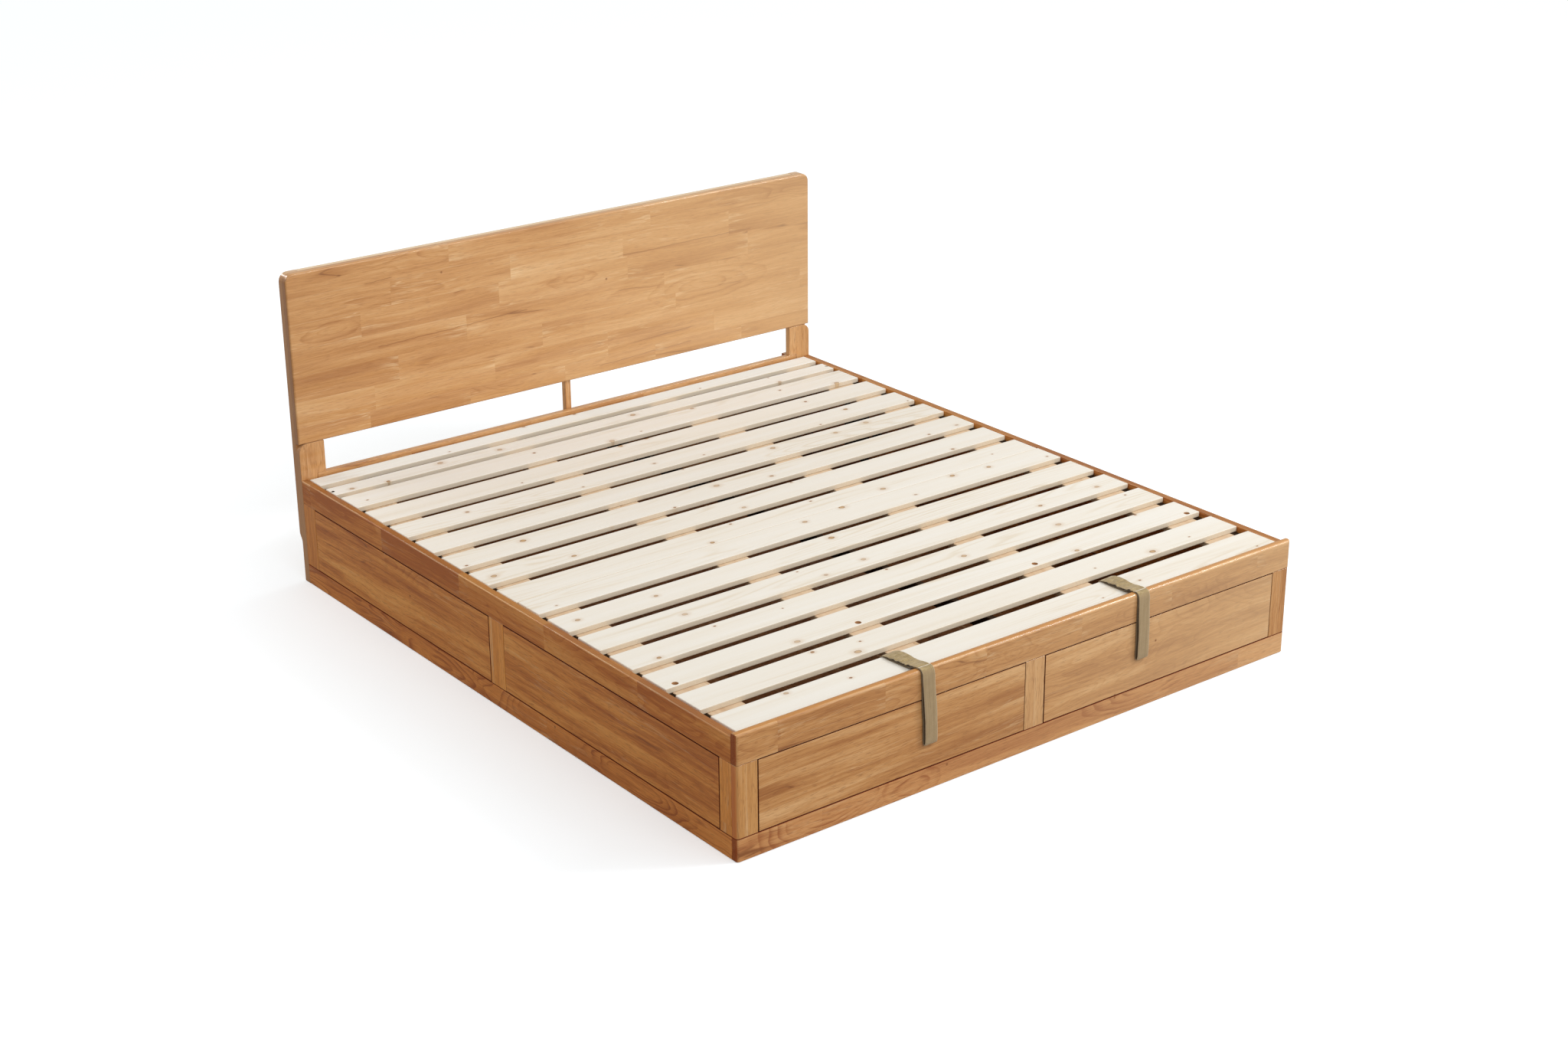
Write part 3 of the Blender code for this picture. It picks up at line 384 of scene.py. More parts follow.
    def rim(self, size, width):
        """1 within width of a box's rim, where size gives its two long sides and their letters."""
        place = dict(zip("XYZ", self.split(self.node("ShaderNodeTexCoord").outputs["Generated"])))
        nearest = [self.times(self.math("PINGPONG", place[letter], 0.5), side) for letter, side in size]
        return self.step(self.math("MINIMUM", *nearest), width, width * 0.92)


# Lacquered rubberwood, glued up from staves

def staves(t, place, row, first, length, seed):
    """Rows, places along each row, each stave's tone, and the point in the timber it is cut from."""
    rows = t.add(t.times(place[1], 1 / row), math.floor(seed * 9) - first / row)
    row_number = t.math("FLOOR", rows)
    row_chance, _ = t.chance(t.join(row_number, seed, 1.7))
    span = t.times(t.add(t.times(row_chance, 0.8), 0.6), length)
    ends = t.add(t.math("DIVIDE", place[0], span), t.times(row_chance, 23.1))
    tone, shifts = t.chance(t.join(row_number, t.math("FLOOR", ends), seed))
    u, v, w = (t.add(p, t.times(shift, STAVE_APART)) for p, shift in zip(place, shifts))
    sway = t.math("SUBTRACT", t.figure((u, v, w), *SWAY), 0.5)
    return rows, ends, tone, (u, t.add(v, t.times(sway, STAVE_SWAY)), w)


def growth_rings(t, place, spot, flames, eyes):
    """Slow darkening that ends in a sharp line, shown here and there and round each eye."""
    rings = t.math("FRACT", t.times(t.figure(spot, *RING_FIELD), RING_COUNT))
    rings = t.times(t.math("POWER", rings, 3.4), t.step(rings, 1.0, 0.90))
    common = flames * 0.3
    rings = t.times(rings, t.step(t.figure(spot, *RING_PLACES), 0.70 - common, 0.80 - common))
    for eye_u, eye_v, reach_u, reach_v, pitch in eyes:
        off_u = t.times(t.math("SUBTRACT", place[0], eye_u), 1 / reach_u)
        off_v = t.times(t.math("SUBTRACT", place[1], eye_v), 1 / reach_v)
        bend = t.figure(place, 0.9 / reach_u, 0.7 / reach_v, 2.5, 0.55)
        away = t.add(t.reach(off_u, off_v), t.times(t.math("SUBTRACT", bend, 0.5), 0.75))
        around = t.math("FRACT", t.times(t.math("POWER", away, 0.8), reach_u / pitch))
        around = t.times(t.math("POWER", around, 2.6), t.step(around, 1.0, 0.86))
        inside = t.times(t.step(away, 1.0, 0.70), t.step(away, 0.10, 0.30))
        strength = t.step(t.figure(place, 2.2 / reach_u, 1.0 / reach_v, 1.0), 0.28, 0.56)
        outside = t.times(rings, t.math("SUBTRACT", 1.0, inside))
        rings = t.math("MAXIMUM", outside, t.times(t.times(around, inside), strength))
    return rings


def mineral_veins(t, place, spot, some, strokes):
    """Dark veins, a few by chance and one for each stroke, and their soft brown shadow."""
    u, v, _ = place
    seam = t.figure(spot, *SEAM)
    rare = t.step(some, 0.60, 0.68)
    vein = t.times(t.ridge(seam, 0.010), rare)
    shadow = t.times(t.ridge(seam, 0.085), rare)
    wander = t.times(t.math("SUBTRACT", t.figure(place, *WANDER), 0.5), VEIN_WANDER)
    for start_u, start_v, end_u, end_v in strokes:
        slope = (end_v - start_v) / (end_u - start_u)
        course = t.add(t.times(u, slope), start_v - start_u * slope)
        off = t.math("SUBTRACT", t.math("SUBTRACT", v, course), wander)
        middle, half = (start_u + end_u) / 2, (end_u - start_u) / 2
        within = t.step(t.math("ABSOLUTE", t.math("SUBTRACT", u, middle)), half, half - VEIN_TAPER)
        thick = t.add(VEIN_THIN, t.times(some, VEIN_SWELL))
        thin = t.step(t.math("DIVIDE", t.math("ABSOLUTE", off), thick), 1.0, 0.0)
        below = t.times(t.step(off, -VEIN_SHADOW, 0.0), t.step(off, VEIN_FRINGE, 0.0))
        vein = t.math("MAXIMUM", vein, t.times(t.times(thin, within), t.add(0.25, some)))
        shadow = t.math("MAXIMUM", shadow, t.times(below, t.times(within, 0.55)))
    return vein, shadow


def pale_flecks(t, spot, some, ends):
    """Pale streaks and clouds that gather near the staves' ends."""
    near_end = t.step(t.math("PINGPONG", ends, 0.5), 0.16, 0.0)
    pale = t.times(t.ridge(t.figure(spot, *PALE_SEAM), 0.022), t.step(some, 0.50, 0.40))
    pale = t.times(pale, t.add(0.55, near_end))
    cloud = t.times(t.step(t.figure(spot, *CLOUD), 0.52, 0.68), t.times(near_end, 0.9))
    return t.math("MAXIMUM", pale, cloud, clamp=True)


def pin_knots(t, place):
    """1 in a few small knots, far apart."""
    off_u, off_v, pick = t.cells(*place[:2], *PIN_KNOTS)
    return t.times(t.step(t.reach(off_u, off_v), PIN_RADIUS, PIN_HEART), t.step(pick[0], 0.965, 0.970))


def lacquered(
    name, order, palette, seed,
    row=0.076, first=0.0, length=0.42, lean=0.0, bands=15,
    broad=0.58, streaks=0.92, grain_depth=0.75, tint=0.14,
    figure=0.34, flames=0.45, eyes=(), strokes=(),
    fleck=0.40, painted_sheen=0.0, dash=0.25, pore=0.42, sapwood=0.55,
    faces=(), turn=(0.70, 0.92), panel=None, rounding=0.0015, coat=0.8, arris_highlight=0.0,
):
    """Rows of staves along order[0], with one row's edge at first.

    broad, streaks, grain_depth and tint say how far the tone varies from coarse to fine and from
    stave to stave, figure and flames how strong and how common growth rings are. eyes lists
    (u, v, reach along, reach across, pitch) of nested rings, strokes lists (u, v, u, v) of dark
    veins, faces lists (way, colour, share) of sides with their own colour, on most pieces painted
    shade (in grooves, on outer sides, on some tops) and painted highlights (on other tops), turn
    says how squarely a face must look that way, panel is the size of a board with a rim of painted
    groove shade, arris_highlight is how strongly a painted highlight pales its arrises, and
    painted_sheen how strongly a painted sheen pales the wood towards +X.
    """
    material = bpy.data.materials.new(name)
    t = Tree(material)
    place, facing = t.axes(order)
    if lean:
        place[1] = t.add(place[1], t.times(place[0], lean))
    rows, ends, tone, spot = staves(t, place, row, first, length, seed)
    wide = t.figure(spot, 1.6, bands)
    streak = t.figure(spot, *STREAK)
    grain = t.figure(spot, *GRAIN)
    fibre = t.figure(spot, *FIBRE)
    pores = t.step(t.figure(spot, *PORES), 0.56, 0.68)
    dashes = t.step(t.figure(spot, *DASHES), 0.50, 0.62)
    some = t.figure(spot, *PATCHES)
    rings = growth_rings(t, place, spot, flames, eyes)
    vein, shadow = mineral_veins(t, place, spot, some, strokes)

    value = t.add(0.5, t.times(t.math("SUBTRACT", wide, 0.5), broad * 2))
    value = t.add(value, t.times(t.math("SUBTRACT", streak, 0.5), streaks))
    value = t.add(value, t.times(t.math("SUBTRACT", tone, 0.5), tint))
    value = t.add(value, t.times(t.math("SUBTRACT", grain, 0.5), grain_depth))
    value = t.add(value, t.times(t.math("SUBTRACT", fibre, 0.5), 0.30))
    value = t.math("SUBTRACT", value, t.times(rings, figure))
    value = t.math("SUBTRACT", value, t.times(shadow, 0.30), clamp=True)
    colour = t.ramp(value, palette)
    colour = t.blend(t.times(pale_flecks(t, spot, some, ends), fleck), colour, PALE_FLECK_AND_SHEEN)
    colour = t.blend(t.times(t.times(dashes, t.step(wide, 0.62, 0.42)), dash), colour, palette[0])
    marks = t.math("MAXIMUM", t.times(vein, 0.75), t.times(pores, pore))
    colour = t.blend(marks, colour, DARK_VEIN)
    # painted sheen: the wood is painted paler towards +X
    if painted_sheen:
        colour = t.blend(t.times(t.step(place[0], -0.7, 1.1), painted_sheen), colour, PALE_FLECK_AND_SHEEN)
    colour = t.blend(t.times(pin_knots(t, place), 0.8), colour, DARK_VEIN)
    # Glue lines, barely darker, or paler where sapwood meets
    glue = t.step(t.math("PINGPONG", rows, 0.5), GLUE_LINE / row, 0.0)
    sap = t.step(some, 0.54, 0.44)
    colour = t.blend(t.times(glue, 0.16), colour, palette[0])
    colour = t.blend(t.times(t.times(glue, sap), sapwood), colour, PALE_FLECK_AND_SHEEN)

    # Face colours, most of them painted light and shade; painted groove shade also takes the shine off
    grooved = 0.0
    for way, face_colour, share in faces:
        turned = t.step(t.times(facing[way[1]], SIGN[way[0]]), *turn)
        colour = t.blend(t.times(turned, share), colour, face_colour)
        if face_colour is GROOVE_SHADE:
            grooved = t.math("MAXIMUM", grooved, turned)
    edge = t.node("ShaderNodeBevel", samples=6)
    edge.inputs["Radius"].default_value = rounding
    # painted highlight: the rounded arrises are painted paler, in streaks
    if arris_highlight:
        tilt = t.math("ABSOLUTE", t.split(edge.outputs["Normal"])[2])
        arris = t.times(t.step(tilt, 0.15, 0.40), t.step(tilt, 0.98, 0.88))
        glint_streaks = t.times(t.add(0.4, streak), t.add(0.25, t.step(streak, 0.40, 0.60)))
        colour = t.blend(t.times(arris, t.times(glint_streaks, arris_highlight)), colour, PALE_FLECK_AND_SHEEN)
    # End grain drinks more lacquer and turns redder
    if not any(way[1] == order[0] for way, _, _ in faces):
        ended = t.step(t.math("ABSOLUTE", facing[order[0]]), 0.55, 0.90)
        ended = t.times(ended, t.add(0.85, t.times(t.math("SUBTRACT", grain, 0.5), 0.7)))
        colour = t.blend(ended, colour, END_GRAIN)
        grooved = t.math("MAXIMUM", grooved, t.times(ended, 0.7))
    # painted groove shade round the rim of an inset panel
    if panel:
        size = [(letter, side) for letter, side in zip("XYZ", panel) if letter in order[:2]]
        border = t.rim(size, GROOVE_RIM)
        colour = t.blend(border, colour, GROOVE_SHADE)
        grooved = t.math("MAXIMUM", grooved, border)

    # Grooves with painted shade, and end grain, don't shine
    t.feed(t.shader.inputs["Base Color"], colour)
    rough = t.add(0.36, t.add(t.times(fibre, 0.10), t.times(streak, 0.12)))
    t.feed(t.shader.inputs["Roughness"], rough)
    shiny = t.math("SUBTRACT", 1.0, grooved)
    t.feed(t.shader.inputs["Specular IOR Level"], t.times(shiny, 0.30))
    t.feed(t.shader.inputs["Coat Weight"], t.times(shiny, coat))
    t.shader.inputs["Coat Roughness"].default_value = 0.08
    height = t.math("SUBTRACT", t.times(fibre, 0.5), t.times(pores, 0.8))
    t.feed(t.shader.inputs["Coat Normal"], edge.outputs["Normal"])
    t.feed(t.shader.inputs["Normal"], t.bump(height, *WOOD_RELIEF, edge.outputs["Normal"]))
    return material


# Bare pine, with knots that the grain runs round

def pine(name, order, seed, palette, knots=1.0, hole_walls=PALE_FLECK_AND_SHEEN):
    """Pine whose knots the grain runs round; hole_walls is the colour painted inside holes, painted shade in
    the slats' screw holes.
    """
    material = bpy.data.materials.new(name)
    t = Tree(material)
    (u, v, w), facing = t.axes(order)
    u = t.add(u, seed * 2.37)
    v = t.add(v, seed * 0.713)
    off_u, off_v, pick = t.cells(u, v, *PINE_KNOTS)
    shown = t.times(t.step(pick[0], 0.30, 0.32), knots)
    size = t.add(KNOT_RADIUS, t.times(t.math("POWER", pick[1], 1.6), KNOT_SPREAD))
    wobble = t.times(t.math("SUBTRACT", t.figure((u, v, w), *PINE_WOBBLE), 0.5), KNOT_WOBBLE)
    away = t.math("SQRT", t.add(t.math("POWER", t.times(off_u, 0.78), 2.0), t.math("POWER", off_v, 2.0)))
    away = t.add(away, wobble)
    near = t.math("DIVIDE", away, size)
    push = t.times(t.math("EXPONENT", t.times(t.math("POWER", t.times(near, 0.42), 2.0), -1.0)), shown)
    bent = t.math("SUBTRACT", v, t.times(t.times(off_v, push), 0.85))
    streak = t.figure((u, bent, w), *PINE_STREAK)
    fibre = t.figure((u, bent, w), *PINE_FIBRE)
    field = t.figure((u, bent, w), *PINE_FIELD)
    rings = t.step(t.math("PINGPONG", t.times(field, PINE_RINGS), 1.0), 0.35, 1.0)
    where = t.step(t.figure((u, v, w), *PINE_PLACES), 0.42, 0.66)
    value = t.add(0.62, t.times(t.math("SUBTRACT", streak, 0.5), 1.1))
    value = t.add(value, t.times(t.math("SUBTRACT", fibre, 0.5), 0.40))
    value = t.math("SUBTRACT", value, t.times(t.times(rings, where), 0.34), clamp=True)
    colour = t.ramp(value, palette)
    # Knots: brown heart, darker rim, warm halo
    halo = t.times(t.math("SUBTRACT", 1.0, t.step(near, 0.6, 3.0)), t.times(shown, 0.34))
    colour = t.blend(halo, colour, KNOT_HALO)
    heart = t.times(t.math("SUBTRACT", 1.0, t.step(near, 0.75, 1.05)), shown)
    tan = t.blend(t.step(pick[1], 0.45, 0.80), KNOT_DARK, KNOT_TAN)
    brown = t.blend(t.step(near, 0.55, 0.85), tan, KNOT_RIM)
    colour = t.blend(t.times(heart, t.add(0.55, t.times(pick[2], 0.45))), colour, brown)
    # Painted shade: the side faces are painted browner than the planed top; the walls of holes get their own
    # colour, painted shade in the slats' screw holes
    side_shade = t.step(t.math("ABSOLUTE", facing[order[1]]), 0.5, 0.9)
    colour = t.blend(t.times(side_shade, 0.60), colour, PINE_SIDE_SHADE)
    upright = t.step(t.math("ABSOLUTE", facing["Z"]), 0.60, 0.40)
    colour = t.blend(t.times(upright, t.inside(0.004, 0.035)), colour, hole_walls)
    t.feed(t.shader.inputs["Base Color"], colour)
    t.feed(t.shader.inputs["Roughness"], t.add(0.56, t.times(fibre, 0.16)))
    t.shader.inputs["Specular IOR Level"].default_value = 0.30
    edge = t.node("ShaderNodeBevel", samples=6)
    edge.inputs["Radius"].default_value = PINE_ARRIS
    height = t.add(fibre, t.times(streak, 0.6))
    t.feed(t.shader.inputs["Normal"], t.bump(height, *PINE_RELIEF, edge.outputs["Normal"]))
    return material


def powder_coat(name):
    material = bpy.data.materials.new(name)
    t = Tree(material)
    place, _ = t.axes("XYZ")
    peel = t.figure(place, *COAT_PEEL)
    dust = t.figure(place, *COAT_DUST)
    t.feed(t.shader.inputs["Base Color"], t.ramp(dust, BLACK_COAT))
    t.feed(t.shader.inputs["Roughness"], t.add(0.55, t.times(dust, 0.24)))
    t.shader.inputs["IOR"].default_value = 1.12
    t.feed(t.shader.inputs["Normal"], t.bump(peel, *COAT_RELIEF))
    return material


def polished_steel(name):
    material = bpy.data.materials.new(name)
    t = Tree(material)
    place, _ = t.axes("XYZ")
    draw = t.figure(place, *STEEL_DRAW)
    film = t.figure(place, *STEEL_FILM)
    t.feed(t.shader.inputs["Base Color"], t.ramp(film, ROD_STEEL))
    t.feed(t.shader.inputs["Roughness"], t.add(0.14, t.times(draw, 0.16)))
    t.shader.inputs["Metallic"].default_value = 1.0
    t.feed(t.shader.inputs["Normal"], t.bump(draw, *STEEL_RELIEF))
    return material


def webbing(name):
    """Khaki webbing: warp ribs along the strap, fine picks across; where it lies flat, painted light as an
    olive palette, and painted shade and light along its wrinkles.
    """
    material = bpy.data.materials.new(name)
    t = Tree(material)
    across, along, _ = t.split(t.node("ShaderNodeTexCoord").outputs["UV"])
    place, facing = t.axes("XYZ")
    upward = t.step(facing["Z"], 0.30, 0.75)
    skew = t.add(along, t.times(t.math("PINGPONG", across, HERRINGBONE), 0.8))
    warp = t.math("PINGPONG", t.times(across, 1 / WARP_PITCH), 1.0)
    weft = t.math("PINGPONG", t.times(skew, 1 / WEFT_PITCH), 1.0)
    weave = t.add(t.times(warp, 0.6), t.times(weft, 0.4))
    lines = t.noise(t.join(t.times(across, 260), t.times(along, 5), 0.0), 3.0, 0.65)
    patch = t.figure(place, *WEB_PATCH)
    crumple = t.noise(t.join(t.times(across, 60), t.times(along, 130), 0.0), 3.0, 0.6, 0.8)
    value = t.add(t.times(lines, 0.95), t.times(patch, 0.40))
    value = t.add(value, t.times(t.math("SUBTRACT", weave, 0.5), 0.22))
    # painted shade and light along the wrinkles where the webbing looks up
    value = t.add(value, t.times(t.times(t.math("SUBTRACT", crumple, 0.5), upward), 1.2))
    value = t.math("SUBTRACT", value, 0.20, clamp=True)
    # painted light: up-facing webbing gets the lit olive palette
    colour = t.blend(upward, t.ramp(value, WEB_GREY), t.ramp(value, WEB_OLIVE_LIT))
    rim = t.step(t.math("PINGPONG", across, WEB_WIDTH / 2), *SELVEDGE_RIM)
    colour = t.blend(t.times(rim, 0.60), colour, SELVEDGE)
    # painted highlight along the crease where the webbing bends over the foot
    crease = t.step(t.math("ABSOLUTE", t.math("SUBTRACT", place[1], seam_place())), *CREASE_LINE)
    colour = t.blend(t.times(t.times(crease, upward), 0.90), colour, CREASE_HIGHLIGHT)
    # painted shade: the inner ply is painted darker
    inner = t.step(along, INNER_PLY / 2, INNER_PLY / 2 + 1)
    colour = t.blend(t.times(inner, 0.70), colour, INNER_PLY_SHADE)
    t.feed(t.shader.inputs["Base Color"], colour)
    t.feed(t.shader.inputs["Roughness"], t.add(0.66, t.times(lines, 0.22)))
    t.shader.inputs["Sheen Weight"].default_value = 0.25
    t.shader.inputs["Specular IOR Level"].default_value = 0.25
    height = t.add(weave, t.times(t.times(crumple, upward), 3.0))
    t.feed(t.shader.inputs["Normal"], t.bump(height, *WEB_RELIEF))
    return material


# What each CAD node is made of

def groove_shaded(*ways):
    """Faces that look these ways lie in a groove and get painted groove shade."""
    return [(way, GROOVE_SHADE, 1.0) for way in ways]


def paint_headboard():
    ends = [("-X", PANEL_END, 0.85), ("+X", PANEL_END, 0.85)]
    paint("headboard_panel", lacquered(
        "headboard_wood", "XZY", HONEY, 1.3, row=0.0764, first=0.860, length=0.56, broad=0.60,
        streaks=0.80, grain_depth=0.62, tint=0.16, figure=0.46, painted_sheen=0.32, fleck=0.50, dash=0.12,
        pore=0.22, sapwood=0.26, rounding=0.004, faces=ends, eyes=HEADBOARD_EYES,
        strokes=HEADBOARD_STROKES,
    ))
    # painted highlight: the top of the rail is painted paler
    paint("headboard_top_rail", lacquered(
        "head_top_rail_wood", "XZY", HONEY, 2.1, row=0.2, faces=[("+Z", CROWN_HIGHLIGHT, 0.88)],
    ))
    paint("headboard_centre_stile", lacquered("centre_stile_wood", "ZXY", HONEY, 3.4, row=0.4))
    paint("head_rail", lacquered("head_rail_wood", "XZY", HONEY, 4.2, row=0.083))
    for i, (side, out) in enumerate(SIDES):
        # painted light on each leg's top, painted shade on its outer side
        paint(f"{side}_leg", lacquered(
            f"{side}_leg_wood", "ZXY", HONEY, 5.1 + i, row=2.1, length=2.6,
            faces=[(out, LEG_SIDE_SHADE, 0.75), ("+Z", LEG_TOP_LIGHT, 0.60)],
        ))


def paint_sides():
    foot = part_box("foot_left_stile")[0].y
    eyes = [(foot + u, *rest) for u, *rest in SIDE_RAIL_EYES]
    for i, (side, out) in enumerate(SIDES):
        stem = f"{side}_side"
        # painted shade on the top rail's top and outer face
        paint(f"{stem}_top_rail", lacquered(
            f"{stem}_top_rail_wood", "YZX", SIDE, 7.3 + i, row=0.4, length=0.34, broad=1.4, streaks=2.0,
            grain_depth=1.4, tint=0.65, figure=0.5, flames=0.7, rounding=0.003, coat=0.25, arris_highlight=0.38,
            faces=[("+Z", SIDE_RAIL_TOP_SHADE, 0.70), (out, SIDE_RAIL_FACE_SHADE, 0.32)],
        ))
        paint(f"{stem}_bottom_rail", lacquered(
            f"{stem}_bottom_rail_wood", "YZX", SIDE_RUSSET, 9.6 + i, row=0.4, length=1.3, figure=0.75,
            flames=1.0, rounding=0.0004, coat=0.3, faces=groove_shaded("+Z"), turn=(0.35, 0.60), eyes=eyes,
        ))
        for k, where in enumerate(("foot", "middle", "head")):
            palette = SIDE if where == "head" else SIDE_PALE
            paint(f"{stem}_{where}_stile", lacquered(
                f"{stem}_{where}_stile_wood", "ZYX", palette, 11.2 + i + k * 3, row=0.9, length=3.0,
                coat=0.3, faces=groove_shaded("+Y", "-Y"),
            ))
        for k, where in enumerate(("foot", "head")):
            low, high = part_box(f"{stem}_{where}_panel")
            paint(f"{stem}_{where}_panel", lacquered(
                f"{stem}_{where}_panel_wood", "YZX", SIDE, 21.7 + k * 2, row=2.0, length=5.0, lean=0.01,
                bands=24, broad=0.95, streaks=1.3, grain_depth=1.0, coat=0.3, dash=0.55,
                faces=groove_shaded("+Y", "-Y", "+Z", "-Z"), panel=high - low,
            ))


def paint_foot():
    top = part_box("foot_top_rail")[1].z
    # painted shade on the rail's top
    paint("foot_top_rail", lacquered(
        "foot_top_rail_wood", "XZY", FOOT, 31.4, row=0.40, length=0.36, figure=0.40, flames=0.55,
        painted_sheen=0.34, rounding=0.004, coat=0.65, arris_highlight=0.30, faces=[("+Z", FOOT_RAIL_TOP_SHADE, 0.70)],
        eyes=[(u, top - down, *rest) for u, down, *rest in FOOT_TOP_EYES],
    ))
    paint("foot_bottom_rail", lacquered(
        "foot_bottom_rail_wood", "XZY", RUSSET, 33.1, row=0.4, length=1.3, figure=0.72, flames=0.5,
        painted_sheen=0.25, rounding=0.0004, coat=0.3, faces=groove_shaded("+Z"), turn=(0.35, 0.60),
        eyes=FOOT_BOTTOM_EYES,
    ))
    stiles = (
        # painted shade on the left stile's outer side
        ("left", YELLOW, groove_shaded("+X") + [("-X", FOOT_CORNER_SHADE, 0.85)]),
        ("middle", PALE, groove_shaded("+X", "-X")),
        ("right", FOOT, groove_shaded("-X")),
    )
    for k, (where, palette, faces) in enumerate(stiles):
        paint(f"foot_{where}_stile", lacquered(
            f"foot_{where}_stile_wood", "ZXY", palette, 35.2 + k * 3, row=0.9, length=3.0, faces=faces,
        ))
    for k, where in enumerate(("left", "right")):
        low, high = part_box(f"foot_{where}_panel")
        paint(f"foot_{where}_panel", lacquered(
            f"foot_{where}_panel_wood", "XZY", FOOT, 41.7 + k * 2, row=2.0, length=5.0, lean=-0.02,
            bands=24, broad=1.00, streaks=1.3, grain_depth=0.75, painted_sheen=0.25 + 0.15 * k,
            flames=0.30 + 0.45 * k, coat=0.5, dash=0.40, faces=groove_shaded("+X", "-X", "+Z", "-Z"),
            panel=high - low,
        ))


def paint_platform():
    for i in range(SLATS):
        # painted shade in the screw holes, near black in the bolt holes of slats 1 and 2
        hole_walls = BOLT_HOLE if i < 2 else SCREW_HOLE_SHADE
        # painted light: slats nearer the head are painted paler, down to none from the seventh
        share = max(0.0, 1.0 - i / 6)
        colours = [[a + (b - a) * share for a, b in zip(*pair)] for pair in zip(CREAM, LIT_CREAM)]
        name = f"slat_{i + 1:02d}"
        paint(name, pine(f"{name}_pine", "XYZ", 1.0 + i * 1.618, colours, hole_walls=hole_walls))
    for i, name in enumerate(("left_outer", "left_inner", "right_inner", "right_outer")):
        paint(f"{name}_bearer", pine(f"{name}_bearer_pine", "YXZ", 41.0 + i * 1.7, PEACH, 0.6))


def paint_inside():
    paint("storage_floor", lacquered(
        "floor_board_wood", "YXZ", OAK, 51.3, row=0.16, length=0.9, coat=0.1,
    ))
    paint("foot_ledge", lacquered("ledge_wood", "XZY", OAK, 52.9, row=0.3, length=0.8, coat=0.1))
    black = powder_coat("black_powder_coat")
    bright = polished_steel("polished_rod_steel")
    for side, _ in SIDES:
        paint(f"{side}_lift_tube", black)
        paint(f"{side}_hinge_bracket", black)
        paint(f"{side}_strut_cylinder", black)
        paint(f"{side}_strut_rod", bright)
    paint("centre_lift_tube", black)


# Pull straps

def seam_place():
    """Y of the crease where the webbing starts down the foot."""
    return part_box("foot_left_stile")[0].y + CREASE_BACK


def strap_route(bottom):
    """(Y, Z, sideways share, roll, layer) along the doubled webbing, one end under the slat to the other."""
    slat_low, slat_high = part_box("slat_16")
    rail_low, rail_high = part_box("foot_left_stile")
    foot_y, foot_back = rail_low.y, rail_high.y
    foot_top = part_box("foot_top_rail")[1].z
    slat_bottom, slat_top, slat_back = slat_low.z, slat_high.z, slat_high.y
    half = WEB_THICKNESS / 2
    near = FIT + half
    under = slat_bottom - near
    behind = slat_back + near
    lie = slat_top + near
    rail_in = foot_top + near
    rail_out = rail_in + PLY_STEP
    face_in = foot_y - STRAP_LIE_OUT
    face_out = foot_y - STRAP_HANG_OUT
    drop = foot_top - bottom
    run = slat_back - foot_back
    swell = lie + STRAP_SWELL
    outer = [
        (slat_back - STRAP_TAIL, under - PLY_STEP, 0.0, 0.0),
        (slat_back - PLY_STEP, under - PLY_STEP - half, 0.0, 0.0),
        (behind + PLY_STEP, slat_bottom + half, 0.0, 0.0),
        (behind + PLY_STEP, slat_top - half, 0.0, 0.02),
        (behind - PLY_STEP, lie + PLY_STEP + half, 0.0, 0.06),
        (slat_back - run * 0.20, swell, 0.06, 0.16),
        (slat_back - run * 0.45, swell + PLY_STEP, 0.16, 0.14),
        (slat_back - run * 0.70, swell, 0.28, 0.05),
        (foot_back + BOARD / 5, rail_out + half, 0.38, 0.0),
        (foot_y + BOARD * 0.40, rail_out + half, 0.44, 0.0),
        (foot_y - BOARD * 0.10, rail_out - PLY_STEP, 0.48, 0.0),
        (foot_y - BOARD * 0.36, foot_top - FOOT_ROUND, 0.52, 0.0),
        (face_out + PLY_STEP, foot_top - drop * 0.20, 0.60, 0.0),
        (face_out + PLY_STEP * 0.2, foot_top - drop * 0.45, 0.76, 0.0),
        (face_out, foot_top - drop * 0.65, 0.88, 0.0),
        (face_out + PLY_STEP * 0.2, foot_top - drop * 0.82, 0.95, 0.0),
        (face_out + PLY_STEP, bottom + WEB_WIDTH * 0.12, 1.0, 0.0),
        ((face_in + face_out) / 2, bottom, 1.0, 0.0),
    ]
    inner = [
        (face_in, bottom + WEB_WIDTH * 0.12, 1.0, 0.0),
        (face_in, foot_top - drop * 0.70, 0.88, 0.0),
        (face_in, foot_top - drop * 0.35, 0.68, 0.0),
        (face_in, foot_top - FOOT_ROUND, 0.52, 0.0),
        (foot_y, rail_in - half, 0.48, 0.0),
        (foot_y + BOARD * 0.45, rail_in, 0.44, 0.0),
        (foot_back, rail_in - half / 2, 0.38, 0.0),
        (foot_back + run * 0.20, lie + PLY_STEP, 0.28, 0.0),
        (foot_back + run * 0.50, lie, 0.16, 0.0),
        (foot_back + run * 0.80, lie, 0.06, 0.0),
        (slat_back - PLY_STEP, lie + half, 0.0, 0.0),
        (behind, slat_top - PLY_STEP, 0.0, 0.0),
        (behind, slat_bottom + PLY_STEP, 0.0, 0.0),
        (slat_back - PLY_STEP, under - half, 0.0, 0.0),
        (slat_back - STRAP_TAIL, under, 0.0, 0.0),
    ]
    return [(*point, 0.0) for point in outer] + [(*point, 1.0) for point in inner]


def ease(share):
    """0 to 1 with a soft start and end, for a share that may lie outside."""
    share = min(max(share, 0.0), 1.0)
    return share * share * (3 - 2 * share)


